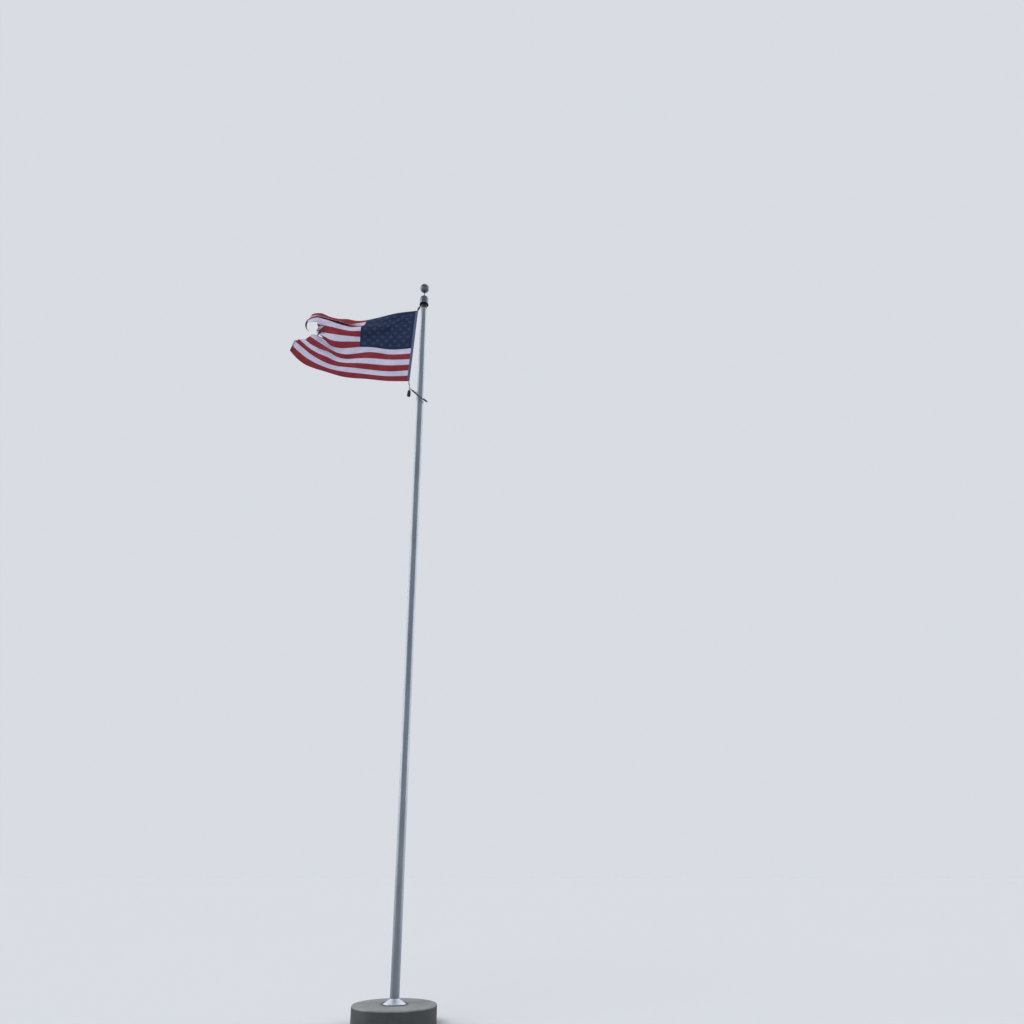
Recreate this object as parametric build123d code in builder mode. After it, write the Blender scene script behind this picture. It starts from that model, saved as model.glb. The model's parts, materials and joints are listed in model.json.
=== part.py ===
"""Ground-set aluminium flagpole with an internal halyard, a revolving truck and a torn flag.

Millimetres, +Z up. The origin is the centre of the pier's underside at ground level. The flag
flies towards -X and the access door faces +Y.
"""

import math
import os

from build123d import *

# Pier and ground sleeve
pier_diameter = 914.0
pier_height = 200.0
pier_edge_radius = 14.0
sleeve_floor = 20.0
sleeve_diameter = 160.0
sleeve_wall = 3.0
packing_depth_below_top = 22.0

# Shaft
exposed_height = 9144.0
butt_diameter = 101.6
top_diameter = 76.2
shaft_wall = 3.2
taper_length = 1676.4

# Flash collar
collar_diameter = 298.0
collar_rim_height = 9.0
collar_rim_width = 7.0
collar_flange_height = 3.0
collar_cone_diameter = 236.0
collar_height = 56.0
collar_neck_height = 8.0
collar_sheet = 1.6
sealant_height = 5.0

# Access door, at the back
door_centre_above_pier = 1200.0
door_width = 58.0
door_length = 170.0
door_corner_radius = 10.0
door_gap = 1.2
frame_lap = 12.0
frame_sheet = 4.0
hinge_length = 70.0
hinge_leaf_width = 13.0
hinge_leaf_sheet = 1.6
hinge_pin_radius = 3.5
lock_radius = 8.0
lock_flange_radius = 10.5
lock_flange_height = 3.0
lock_below_centre = 48.0
lock_depth = 10.0
keyway_width = 1.6
keyway_length = 8.0
cleat_width = 16.0
cleat_height = 70.0
cleat_jaw_height = 30.0
cleat_jaw_reach = 7.0

# Fits, and the number of sides that wire is drawn with
wire_sides = 8
ring_seam = 31.0
bar_short = 0.7
fit_gap = 0.3
bearing_gap = 0.3
pin_clearance = 0.1
spindle_clearance = 0.05

# Truck, fixed half
socket_flange_height = 4.0
socket_depth = 90.0
socket_core_radius = 28.0
spindle_radius = 13.0
spindle_bore_radius = 6.0
bearing_radius = 30.0
bearing_height = 4.0
retainer_radius = 17.0
retainer_height = 3.0
retainer_recess = 1.0
boot_length = 110.0
boot_sheet = 3.0

# Truck, revolving half
yoke_base_radius = 36.0
yoke_base_height = 6.0
yoke_foot_inset = 6.0
ear_thickness = 6.0
ear_clearance = 1.5
ear_past_pin = 12.0
ear_shoulder_past_pin = 9.0
ear_shoulder_rise = 10.0
bridge_height = 8.0
bridge_reach = 24.0
bridge_back = 10.0
sheave_radius = 29.0
sheave_edge = 1.0
sheave_width = 12.0
sheave_clearance = 1.0
crown_clearance = 3.4
pin_radius = 5.0
pin_head_radius = 8.0
pin_head_height = 3.0
cable_radius = 2.0
cable_drop = 54.0
hood_radius = 59.0
hood_wall = 2.0
hood_crown_wall = 2.5
hood_corner_radius = 28.0
hood_overlap = 49.0
hood_lip_radius = 64.0
hood_lip_height = 16.0

# Finial
stem_radius = 6.0
stem_exposed = 90.0
stem_nut_flats = 19.0
stem_nut_height = 10.0
ball_diameter = 127.0
ball_sheet = 1.6
ball_neck_radius = 14.0
ball_neck_height = 14.0
ball_neck_below = 4.0
seam_height = 3.0
seam_proud = 0.8
seam_end_angle = 6.0

# Flag
hoist_corner_x = -80.0
hoist_corner_below_hood = 100.0
hoist_length = 1184.0
hoist_lean = 3.7
heading_width = 30.0
heading_sheet = 4.0
flag_fly = 1829.0
flag_sheet = 6.0
flag_gap = 2.0
grommet_inset = 15.0
grommet_drop = 20.0
grommet_hole_radius = 5.0
grommet_radius = 9.0
grommet_flange_width = 2.0
grommet_height = 6.0

# Lines of the cloth from the hoist to the fly, by how far down the hoist they start. Each place is
# out, down and back from the hoist corner; all are shares, down of the hoist and the rest of the fly
cloth_lines = {
    0.0: [
        (0.18, -0.01, 0.04), (0.35, 0.01, 0.09), (0.42, 0.02, 0.11), (0.49, 0.03, 0.10),
        (0.59, 0.06, 0.05), (0.70, 0.05, 0.03), (0.84, -0.01, 0.05),
    ],
    0.23: [
        (0.19, 0.19, 0.03), (0.36, 0.19, 0.03), (0.44, 0.18, 0.03), (0.49, 0.21, 0.02),
        (0.60, 0.24, -0.02), (0.71, 0.19, -0.02), (0.87, 0.14, 0.01),
    ],
    0.54: [
        (0.20, 0.52, 0.02), (0.37, 0.52, 0.01), (0.44, 0.53, 0.0), (0.53, 0.54, -0.02),
        (0.66, 0.56, -0.05), (0.75, 0.47, -0.10), (0.87, 0.37, -0.11),
    ],
    0.77: [
        (0.21, 0.78, -0.01), (0.37, 0.76, -0.02), (0.44, 0.77, -0.03), (0.53, 0.80, -0.05),
        (0.66, 0.77, -0.09), (0.77, 0.68, -0.14), (0.91, 0.59, -0.15),
    ],
    1.0: [
        (0.21, 1.03, -0.03), (0.37, 1.04, -0.05), (0.44, 1.04, -0.07), (0.52, 1.03, -0.08),
        (0.67, 0.98, -0.11), (0.80, 0.92, -0.14), (0.92, 0.79, -0.19),
    ],
}
# Outline of what has torn away at the fly, out and down in the same shares, closed beyond the cloth
tear_outline = [
    (1.10, 0.28), (0.86, 0.28), (0.85, 0.19), (0.83, 0.16), (0.80, 0.16), (0.78, 0.23), (0.73, 0.33),
    (0.74, 0.40), (0.80, 0.48), (0.83, 0.53), (0.89, 0.55), (0.93, 0.60), (1.10, 0.60),
]

# Halyard end, snaps and counterweight
ferrule_inside_hood = 8.0
ferrule_radius = 3.2
ferrule_length = 14.0
eye_radius = 8.0
eye_wire = 2.0
hook_radius = 13.0
hook_wire = 2.5
hook_slack = 0.5
bar_thicker = 1.0
snap_cover_radius = 13.0
snap_cover_end_radius = 9.0
snap_cover_gap = 3.0
lower_snap_radius = 7.0
lower_snap_end_radius = 5.0
lower_snap_gap = 2.0
link_x = -150.7
link_below_corner = 112.0
link_half_width = 7.5
link_straight = 24.0
link_wire = 2.5
weight_radius = 25.0
weight_length = 98.0
weight_lean = 4.0
weight_nose_radius = 12.0
weight_gap = 1.0

# Retainer loop round the shaft
loop_slope_x = -0.895
loop_slope_y = 0.674
loop_far_x = 88.0
loop_large_radius = 95.0
loop_small_radius = 12.0
loop_cable_radius = 2.0
roller_radius = 8.0
roller_sides = 6
roller_bore_radius = 3.0
roller_length = 22.0
roller_pitch = 28.0
roller_free_end = 34.0

# Heights worked out from the values above
butt_radius = butt_diameter / 2
top_radius = top_diameter / 2
pier_top = pier_height
shaft_foot = sleeve_floor + sleeve_wall
shaft_top = pier_top + exposed_height
taper_start = shaft_top - taper_length
door_z = pier_top + door_centre_above_pier
flange_top = shaft_top + socket_flange_height
yoke_foot = flange_top + bearing_height + bearing_gap
base_top = yoke_foot + yoke_base_height
retainer_top = base_top + bearing_gap + retainer_height
sheave_x = -cable_drop / 2
pitch_radius = cable_drop / 2
sheave_z = retainer_top + sheave_radius + sheave_clearance
crown_inside = sheave_z + sheave_radius + crown_clearance
hood_top = crown_inside + hood_crown_wall
hood_bottom = shaft_top - hood_overlap
bridge_bottom = crown_inside - bridge_height
ear_inner = sheave_width / 2 + ear_clearance
ear_outer = ear_inner + ear_thickness
ball_radius = ball_diameter / 2
ball_bottom = hood_top + stem_exposed
ball_z = ball_bottom + ball_radius
ferrule_top = hood_bottom + ferrule_inside_hood


def leaning(origin, up):
    """Plane in XZ through a point, with its own y axis along the direction given."""
    along = Vector(*up).normalized()
    across = Vector(along.Z, 0, -along.X)
    return Plane(origin=origin, x_dir=across, z_dir=(0, -1, 0))


def wire_ring(centre, normal, ring_radius, wire_radius):
    """Closed ring of wire about a centre point, with its seam off the ring's own axes."""
    ring_plane = Plane(origin=centre, z_dir=normal)
    seam = math.radians(ring_seam)
    outward = ring_plane.x_dir * math.cos(seam) + ring_plane.y_dir * math.sin(seam)
    section_plane = Plane(
        origin=centre + outward * ring_radius, x_dir=outward, z_dir=ring_plane.z_dir.cross(outward)
    )
    with BuildSketch(section_plane) as section:
        RegularPolygon(wire_radius, wire_sides)
    revolve(section.sketch, axis=Axis(centre, ring_plane.z_dir))


def wire_bar(start, end, radius):
    """Straight round bar between two points."""
    run = end - start
    with BuildSketch(Plane(origin=start, z_dir=run)) as section:
        Circle(radius)
    extrude(section.sketch, amount=run.length)


def tube_segment(inner, outer, low, high, mode=Mode.ADD):
    """Length of round tube about the shaft's axis."""
    with BuildSketch(Plane.XY.offset(low)) as section:
        Circle(outer)
        Circle(inner, mode=Mode.SUBTRACT)
    extrude(section.sketch, amount=high - low, mode=mode)


# Concrete pier with a socket for the sleeve
with BuildPart() as foundation_pier:
    with BuildSketch():
        Circle(pier_diameter / 2)
    extrude(amount=pier_height)
    top_edge = foundation_pier.edges().filter_by(GeomType.CIRCLE).sort_by(Axis.Z)[-1]
    fillet(top_edge, radius=pier_edge_radius)
    with BuildSketch(Plane.XY.offset(sleeve_floor)):
        Circle(sleeve_diameter / 2 + fit_gap)
    extrude(amount=pier_height, mode=Mode.SUBTRACT)

# Galvanised sleeve with a floor plate, and the packing that holds the shaft in it
with BuildPart() as ground_sleeve:
    with BuildSketch(Plane.XY.offset(sleeve_floor)):
        Circle(sleeve_diameter / 2)
    extrude(amount=pier_top - sleeve_floor)
    with BuildSketch(Plane.XY.offset(shaft_foot)):
        Circle(sleeve_diameter / 2 - sleeve_wall)
    extrude(amount=pier_height, mode=Mode.SUBTRACT)

with BuildPart() as sleeve_packing:
    packing_outer = sleeve_diameter / 2 - sleeve_wall - fit_gap
    tube_segment(butt_radius + fit_gap, packing_outer, shaft_foot, pier_top - packing_depth_below_top)

# Shaft: straight tube, then a tapered top, with an opening for the door
door_plane = Plane(origin=(0, 0, door_z), x_dir=(-1, 0, 0), z_dir=(0, 1, 0))
with BuildPart() as shaft:
    with BuildSketch(Plane.XZ):
        with BuildLine():
            Polyline(
                (butt_radius, shaft_foot),
                (butt_radius, taper_start),
                (top_radius, shaft_top),
                (top_radius - shaft_wall, shaft_top),
                (butt_radius - shaft_wall, taper_start),
                (butt_radius - shaft_wall, shaft_foot),
                close=True,
            )
        make_face()
    revolve(axis=Axis.Z)
    with BuildSketch(door_plane):
        RectangleRounded(door_width, door_length, door_corner_radius)
    extrude(amount=butt_diameter, mode=Mode.SUBTRACT)

# Spun collar: rolled rim, flat flange and a hollow cone up to the shaft
with BuildPart() as flash_collar:
    rim = collar_diameter / 2
    rim_inner = rim - collar_rim_width
    cone = collar_cone_diameter / 2
    neck = butt_radius + fit_gap + collar_sheet
    neck_foot = pier_top + collar_height - collar_neck_height
    neck_top = pier_top + collar_height
    flange = pier_top + collar_flange_height
    cone_foot = flange + 2 * collar_sheet
    with BuildSketch(Plane.XZ):
        with BuildLine():
            Line((rim_inner, pier_top), (rim, pier_top))
            Line((rim, pier_top), (rim, pier_top + collar_rim_height / 2))
            ThreePointArc(
                (rim, pier_top + collar_rim_height / 2),
                (rim - collar_rim_width / 2, pier_top + collar_rim_height),
                (rim_inner, pier_top + collar_rim_height / 2),
            )
            Line((rim_inner, pier_top + collar_rim_height / 2), (rim_inner, flange))
            Line((rim_inner, flange), (cone + collar_sheet, flange))
            Line((cone + collar_sheet, flange), (cone, cone_foot))
            Line((cone, cone_foot), (neck, neck_foot))
            Line((neck, neck_foot), (neck, neck_top))
            Line((neck, neck_top), (neck - collar_sheet, neck_top))
            Line((neck - collar_sheet, neck_top), (neck - collar_sheet, neck_foot - collar_sheet))
            Line((neck - collar_sheet, neck_foot - collar_sheet), (cone - 2 * collar_sheet, flange))
            Line((cone - 2 * collar_sheet, flange), (cone - 2 * collar_sheet, pier_top))
            Line((cone - 2 * collar_sheet, pier_top), (rim_inner, pier_top))
        make_face()
    revolve(axis=Axis.Z)

# Bead of sealant where the collar meets the shaft
with BuildPart() as collar_sealant:
    with BuildSketch(Plane.XZ):
        with BuildLine():
            Polyline(
                (butt_radius + fit_gap / 2, neck_top),
                (neck, neck_top),
                (butt_radius + collar_sheet, neck_top + sealant_height / 2),
                (butt_radius + fit_gap / 2, neck_top + sealant_height),
                close=True,
            )
        make_face()
    revolve(axis=Axis.Z)

# Door frame inside the shaft, flush door, hinge and lock
with BuildPart() as door_frame:
    frame_outer = butt_radius - shaft_wall - fit_gap
    frame_half = door_length / 2 + 2 * frame_lap
    with BuildSketch(door_plane):
        RectangleRounded(door_width + frame_lap, door_length + 2 * frame_lap, door_corner_radius)
        RectangleRounded(
            door_width - frame_lap, door_length - frame_lap, door_corner_radius, mode=Mode.SUBTRACT
        )
    extrude(amount=butt_diameter)
    tube_segment(
        frame_outer - frame_sheet, frame_outer, door_z - frame_half, door_z + frame_half, Mode.INTERSECT
    )

lock_plane = Plane(origin=(0, 0, door_z - lock_below_centre), x_dir=(-1, 0, 0), z_dir=(0, 1, 0))
with BuildPart() as access_door:
    with BuildSketch(door_plane):
        RectangleRounded(
            door_width - 2 * door_gap, door_length - 2 * door_gap, door_corner_radius - door_gap
        )
        with Locations((0, -lock_below_centre)):
            Circle(lock_radius + fit_gap, mode=Mode.SUBTRACT)
    extrude(amount=butt_diameter)
    tube_segment(
        butt_radius - shaft_wall, butt_radius, door_z - door_length, door_z + door_length, Mode.INTERSECT
    )

hinge_x = door_width / 2
hinge_y = math.sqrt(butt_radius**2 - hinge_x**2)
with BuildPart() as door_hinge:
    leaf_inner = butt_radius + fit_gap
    hinge_low = door_z - hinge_length / 2
    hinge_plane = Plane(origin=(0, 0, door_z), x_dir=(-hinge_y, hinge_x, 0), z_dir=(hinge_x, hinge_y, 0))
    with BuildSketch(hinge_plane):
        Rectangle(2 * hinge_leaf_width, hinge_length)
    extrude(amount=butt_diameter)
    tube_segment(
        leaf_inner,
        leaf_inner + hinge_leaf_sheet,
        door_z - hinge_length,
        door_z + hinge_length,
        Mode.INTERSECT,
    )
    pin_reach = (leaf_inner + hinge_leaf_sheet + hinge_pin_radius / 2) / butt_radius
    with BuildSketch(Plane.XY.offset(hinge_low)):
        with Locations((hinge_x * pin_reach, hinge_y * pin_reach)):
            Circle(hinge_pin_radius)
    extrude(amount=hinge_length)

with BuildPart() as door_lock:
    lock_face = butt_radius + fit_gap
    with BuildSketch(lock_plane.offset(butt_radius - lock_depth)):
        Circle(lock_radius)
    extrude(amount=lock_depth + fit_gap)
    with BuildSketch(lock_plane.offset(lock_face)):
        Circle(lock_flange_radius)
    extrude(amount=lock_flange_height)
    with BuildSketch(lock_plane.offset(lock_face + lock_flange_height / 2)):
        Rectangle(keyway_width, keyway_length)
    extrude(amount=lock_flange_height, mode=Mode.SUBTRACT)

# Cleat inside the shaft that grips the lower end of the halyard
with BuildPart() as halyard_cleat:
    bore_side = -math.sqrt((butt_radius - shaft_wall - fit_gap) ** 2 - (cleat_width / 2) ** 2)
    with BuildSketch(Plane.YZ.offset(-cleat_width / 2)):
        with BuildLine():
            Polyline(
                (bore_side, door_z - cleat_height / 2),
                (cleat_jaw_reach, door_z - cleat_jaw_height / 2),
                (cleat_jaw_reach, door_z + cleat_jaw_height / 2),
                (bore_side, door_z + cleat_height / 2),
                close=True,
            )
        make_face()
    extrude(amount=cleat_width)
    with BuildSketch(Plane.XY.offset(door_z - cleat_height / 2)):
        Circle(cable_radius + fit_gap)
    extrude(amount=cleat_height, mode=Mode.SUBTRACT)

spindle_top = retainer_top
with BuildPart() as inner_halyard:
    with BuildSketch(Plane.XY.offset(door_z - cleat_height / 2)):
        Circle(cable_radius)
    extrude(amount=spindle_top - door_z + cleat_height / 2)

# Socket plug in the shaft's top, hollow spindle, bearing and retaining collar
with BuildPart() as truck_socket:
    plug_radius = top_radius - shaft_wall - fit_gap
    with BuildSketch(Plane.XZ):
        with BuildLine():
            Polyline(
                (spindle_radius + pin_clearance, flange_top),
                (top_radius, flange_top),
                (top_radius, shaft_top),
                (plug_radius, shaft_top),
                (plug_radius, shaft_top - socket_depth),
                (socket_core_radius, shaft_top - socket_depth),
                (socket_core_radius, shaft_top - socket_depth / 2),
                (spindle_radius + pin_clearance, shaft_top - socket_depth / 2),
                close=True,
            )
        make_face()
    revolve(axis=Axis.Z)

# Boot over the shaft's top that keeps the weather out of the truck
with BuildPart() as truck_boot:
    boot_foot = shaft_top - boot_length
    boot_foot_radius = top_radius + (butt_radius - top_radius) * boot_length / taper_length + fit_gap
    with BuildSketch(Plane.XZ):
        with BuildLine():
            Polyline(
                (boot_foot_radius, boot_foot),
                (boot_foot_radius + boot_sheet, boot_foot),
                (boot_foot_radius + boot_sheet, shaft_top),
                (top_radius + fit_gap, shaft_top),
                close=True,
            )
        make_face()
    revolve(axis=Axis.Z)

with BuildPart() as truck_spindle:
    tube_segment(spindle_bore_radius, spindle_radius, shaft_top - socket_depth / 2, spindle_top)

with BuildPart() as thrust_bearing:
    tube_segment(spindle_radius + pin_clearance, bearing_radius, flange_top, flange_top + bearing_height)

with BuildPart() as retaining_collar:
    tube_segment(
        spindle_radius + pin_clearance, retainer_radius, retainer_top - retainer_height, retainer_top
    )

# Yoke: base that turns on the spindle, two ears for the sheave and a bridge for the finial stem
with BuildPart() as truck_yoke:
    with BuildSketch(Plane.XY.offset(yoke_foot)):
        Circle(yoke_base_radius)
    extrude(amount=yoke_base_height)
    with BuildSketch(Plane.XZ):
        with BuildLine():
            Polyline(
                (yoke_foot_inset - yoke_base_radius, base_top),
                (yoke_base_radius - yoke_foot_inset, base_top),
                (bridge_reach, crown_inside),
                (-bridge_back, crown_inside),
                (sheave_x - ear_shoulder_past_pin, sheave_z + ear_shoulder_rise),
                (sheave_x - ear_past_pin, sheave_z),
                close=True,
            )
        make_face()
    extrude(amount=ear_outer, both=True)
    with BuildSketch(Plane.XZ):
        with BuildLine():
            Polyline(
                (-cable_drop, base_top),
                (yoke_base_radius, base_top),
                (yoke_base_radius, bridge_bottom),
                (-bridge_back, bridge_bottom),
                (-bridge_back, hood_top),
                (-cable_drop, hood_top),
                close=True,
            )
        make_face()
    extrude(amount=ear_inner, both=True, mode=Mode.SUBTRACT)
    with BuildSketch(Plane.XY.offset(yoke_foot)):
        Circle(spindle_radius + spindle_clearance)
    extrude(amount=yoke_base_height, mode=Mode.SUBTRACT)
    with BuildSketch(Plane.XY.offset(base_top)):
        Circle(retainer_radius + retainer_recess)
    extrude(amount=retainer_height + bearing_gap + retainer_recess, mode=Mode.SUBTRACT)
    with BuildSketch(Plane.XY.offset(bridge_bottom)):
        Circle(stem_radius + pin_clearance)
    extrude(amount=bridge_height, mode=Mode.SUBTRACT)
    with BuildSketch(Plane.XZ):
        with Locations((sheave_x, sheave_z)):
            Circle(pin_radius + pin_clearance)
    extrude(amount=yoke_base_radius, both=True, mode=Mode.SUBTRACT)

# Grooved sheave and its pin
with BuildPart() as sheave:
    groove_foot = pitch_radius - cable_radius - fit_gap / 2
    groove_half = cable_radius + fit_gap / 2
    rim_half = sheave_width / 2
    with BuildSketch(Plane.XY.offset(sheave_z)):
        with BuildLine():
            Line((sheave_x + pin_radius + pin_clearance, -rim_half), (sheave_x + sheave_radius, -rim_half))
            Line((sheave_x + sheave_radius, -rim_half), (sheave_x + sheave_radius, sheave_edge - rim_half))
            Line((sheave_x + sheave_radius, sheave_edge - rim_half), (sheave_x + pitch_radius, -groove_half))
            ThreePointArc(
                (sheave_x + pitch_radius, -groove_half),
                (sheave_x + groove_foot, 0),
                (sheave_x + pitch_radius, groove_half),
            )
            Line((sheave_x + pitch_radius, groove_half), (sheave_x + sheave_radius, rim_half - sheave_edge))
            Line((sheave_x + sheave_radius, rim_half - sheave_edge), (sheave_x + sheave_radius, rim_half))
            Line((sheave_x + sheave_radius, rim_half), (sheave_x + pin_radius + pin_clearance, rim_half))
            Line(
                (sheave_x + pin_radius + pin_clearance, rim_half),
                (sheave_x + pin_radius + pin_clearance, -rim_half),
            )
        make_face()
    revolve(axis=Axis((sheave_x, 0, sheave_z), (0, 1, 0)))

with BuildPart() as sheave_pin:
    with BuildSketch(Plane.XZ):
        with Locations((sheave_x, sheave_z)):
            Circle(pin_radius)
    extrude(amount=ear_outer + fit_gap, both=True)
    for side in (-1, 1):
        with BuildSketch(Plane.XZ.offset(side * (ear_outer + fit_gap))):
            with Locations((sheave_x, sheave_z)):
                Circle(pin_head_radius)
        extrude(amount=side * pin_head_height)

# Halyard over the sheave, and its drop to the flag
with BuildPart() as halyard_bend:
    with BuildLine():
        rise = Line((0, 0, spindle_top + fit_gap), (0, 0, sheave_z))
        ThreePointArc(
            (0, 0, sheave_z), (sheave_x, 0, sheave_z + pitch_radius), (-cable_drop, 0, sheave_z)
        )
    with BuildSketch(Plane(origin=rise @ 0, z_dir=(0, 0, 1))):
        RegularPolygon(cable_radius, wire_sides)
    sweep()

with BuildPart() as halyard_drop:
    with BuildSketch(Plane(origin=(-cable_drop, 0, ferrule_top))):
        RegularPolygon(cable_radius, wire_sides)
    extrude(amount=sheave_z - ferrule_top)

# Hood: a domed cup with a flared lip, open below
with BuildPart() as truck_hood:
    inner = hood_radius - hood_wall
    lip_top = hood_bottom + hood_lip_height
    corner_z = crown_inside - hood_corner_radius
    outer_corner = hood_corner_radius + hood_wall
    outer_corner_z = hood_top - outer_corner
    inner_centre = inner - hood_corner_radius
    outer_centre = hood_radius - outer_corner
    diagonal = math.sqrt(0.5)
    stem_hole = stem_radius + pin_clearance
    with BuildSketch(Plane.XZ):
        with BuildLine():
            Line((stem_hole, crown_inside), (stem_hole, hood_top))
            Line((stem_hole, hood_top), (outer_centre, hood_top))
            ThreePointArc(
                (outer_centre, hood_top),
                (outer_centre + diagonal * outer_corner, outer_corner_z + diagonal * outer_corner),
                (hood_radius, outer_corner_z),
            )
            Line((hood_radius, outer_corner_z), (hood_radius, lip_top))
            Line((hood_radius, lip_top), (hood_lip_radius, hood_bottom))
            Line((hood_lip_radius, hood_bottom), (hood_lip_radius - hood_wall, hood_bottom))
            Line((hood_lip_radius - hood_wall, hood_bottom), (inner, lip_top))
            Line((inner, lip_top), (inner, corner_z))
            ThreePointArc(
                (inner, corner_z),
                (inner_centre + diagonal * hood_corner_radius, corner_z + diagonal * hood_corner_radius),
                (inner_centre, crown_inside),
            )
            Line((inner_centre, crown_inside), (stem_hole, crown_inside))
        make_face()
    revolve(axis=Axis.Z)

# Finial: stem, lock nut, neck and a ball spun in two halves
with BuildPart() as finial_stem:
    with BuildSketch(Plane.XY.offset(bridge_bottom)):
        Circle(stem_radius)
    extrude(amount=ball_bottom + ball_neck_height - bridge_bottom)

with BuildPart() as stem_nut:
    with BuildSketch(Plane.XY.offset(hood_top)):
        RegularPolygon(stem_nut_flats / math.sqrt(3), 6)
        Circle(stem_radius + pin_clearance, mode=Mode.SUBTRACT)
    extrude(amount=stem_nut_height)

with BuildPart() as ball_neck:
    neck_bore = stem_radius + pin_clearance
    neck_end = ball_bottom + ball_neck_height
    tube_segment(neck_bore, ball_neck_radius, ball_bottom - ball_neck_below, neck_end)

neck_hole = ball_neck_radius + pin_clearance
ball_inner = ball_radius - ball_sheet


def on_ball(radius, degrees):
    """Point of the ball's half outline, by its angle above the seam."""
    angle = math.radians(degrees)
    return (radius * math.cos(angle), ball_z + radius * math.sin(angle))


with BuildPart() as ball_lower:
    outer_end = -math.degrees(math.acos(neck_hole / ball_radius))
    inner_end = -math.degrees(math.acos(neck_hole / ball_inner))
    with BuildSketch(Plane.XZ):
        with BuildLine():
            Line(on_ball(ball_inner, 0), on_ball(ball_radius, 0))
            ThreePointArc(
                on_ball(ball_radius, 0), on_ball(ball_radius, outer_end / 2), on_ball(ball_radius, outer_end)
            )
            Line(on_ball(ball_radius, outer_end), on_ball(ball_inner, inner_end))
            ThreePointArc(
                on_ball(ball_inner, inner_end), on_ball(ball_inner, inner_end / 2), on_ball(ball_inner, 0)
            )
        make_face()
    revolve(axis=Axis.Z)

# The upper half ends in a rolled bead that laps the seam
with BuildPart() as ball_upper:
    bead = ball_radius + seam_proud
    with BuildSketch(Plane.XZ):
        with BuildLine():
            Polyline(
                on_ball(ball_inner, 0),
                (bead, ball_z),
                (bead, ball_z + seam_height),
                on_ball(ball_radius, seam_end_angle),
            )
            ThreePointArc(
                on_ball(ball_radius, seam_end_angle), on_ball(ball_radius, 45), (0, ball_z + ball_radius)
            )
            Line((0, ball_z + ball_radius), (0, ball_z + ball_inner))
            ThreePointArc((0, ball_z + ball_inner), on_ball(ball_inner, 45), on_ball(ball_inner, 0))
        make_face()
    revolve(axis=Axis.Z)

# Flag and its heading, hung from two grommets on a leaning hoist line
lean = math.radians(hoist_lean)
hoist_corner = Vector(hoist_corner_x, 0, hood_bottom - hoist_corner_below_hood)
down_hoist = Vector(-math.sin(lean), 0, -math.cos(lean))
into_flag = Vector(-math.cos(lean), 0, math.sin(lean))
lower_corner = hoist_corner + down_hoist * hoist_length
upper_grommet_at = hoist_corner + down_hoist * grommet_drop + into_flag * grommet_inset
lower_grommet_at = lower_corner - down_hoist * grommet_drop + into_flag * grommet_inset

with BuildPart() as flag_heading:
    with BuildSketch(Plane.XZ):
        with BuildLine():
            Polyline(
                *[
                    (corner.X, corner.Z)
                    for corner in (
                        hoist_corner,
                        lower_corner,
                        lower_corner + into_flag * heading_width,
                        hoist_corner + into_flag * heading_width,
                    )
                ],
                close=True,
            )
        make_face()
        with Locations(*[(spot.X, spot.Z) for spot in (upper_grommet_at, lower_grommet_at)]):
            Circle(grommet_radius - grommet_flange_width + fit_gap, mode=Mode.SUBTRACT)
    extrude(amount=heading_sheet / 2, both=True)


def grommet(centre):
    """Brass eyelet: a barrel through the heading with a flange on each face."""
    barrel = grommet_radius - grommet_flange_width
    with BuildSketch(Plane.XZ) as barrel_ring:
        with Locations((centre.X, centre.Z)):
            Circle(barrel)
            Circle(grommet_hole_radius, mode=Mode.SUBTRACT)
    extrude(barrel_ring.sketch, amount=grommet_height / 2, both=True)
    for side in (-1, 1):
        with BuildSketch(Plane.XZ.offset(side * (heading_sheet / 2 + fit_gap / 2))) as flange_ring:
            with Locations((centre.X, centre.Z)):
                Circle(grommet_radius)
                Circle(grommet_hole_radius, mode=Mode.SUBTRACT)
        extrude(flange_ring.sketch, amount=side * (grommet_height - heading_sheet - fit_gap) / 2)


with BuildPart() as upper_grommet:
    grommet(upper_grommet_at)

with BuildPart() as lower_grommet:
    grommet(lower_grommet_at)


def on_cloth(out, down, back=0):
    """Place on the cloth, by shares of the fly and the hoist from the hoist corner."""
    return hoist_corner + Vector(-out * flag_fly, back * flag_fly, -down * hoist_length)


with BuildPart() as flag:
    cloth_places = []
    for hoist_share, line in cloth_lines.items():
        at_heading = hoist_corner + down_hoist * (hoist_share * hoist_length)
        at_heading += into_flag * (heading_width + flag_gap)
        cloth_places.append([at_heading, *[on_cloth(*place) for place in line]])
    thicken(Face.make_surface_from_array_of_points(cloth_places), amount=flag_sheet / 2, both=True)
    with BuildSketch(Plane.XZ):
        with BuildLine():
            torn = [on_cloth(out, down) for out, down in tear_outline]
            Polyline(*[(place.X, place.Z) for place in torn], close=True)
        make_face()
    extrude(amount=flag_fly, both=True, mode=Mode.SUBTRACT)

# End of the halyard: pressed ferrule and eye
eye_z = ferrule_top - ferrule_length - eye_radius - eye_wire / 2
halyard_eye_at = Vector(-cable_drop, 0, eye_z)
with BuildPart() as halyard_eye:
    with BuildSketch(Plane(origin=(-cable_drop, 0, ferrule_top - ferrule_length))):
        Circle(ferrule_radius)
    extrude(amount=ferrule_length)
    wire_ring(halyard_eye_at, (1, 0, 0), eye_radius, eye_wire)

# Covered snap between the halyard's eye and the upper grommet
seat = halyard_eye_at - Vector(0, 0, eye_radius)
up_snap = (seat - upper_grommet_at).normalized()
across_snap = Vector(up_snap.Z, 0, -up_snap.X)
snap_eye_at = seat + up_snap * (2 * eye_wire + fit_gap - eye_radius)
hook_rise = grommet_hole_radius - hook_wire - hook_slack
hook_at = upper_grommet_at + up_snap * (hook_rise + hook_radius)
cover_top = snap_eye_at - up_snap * (eye_radius + eye_wire + snap_cover_gap)
cover_foot = hook_at + up_snap * (hook_radius + hook_wire + snap_cover_gap)

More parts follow.
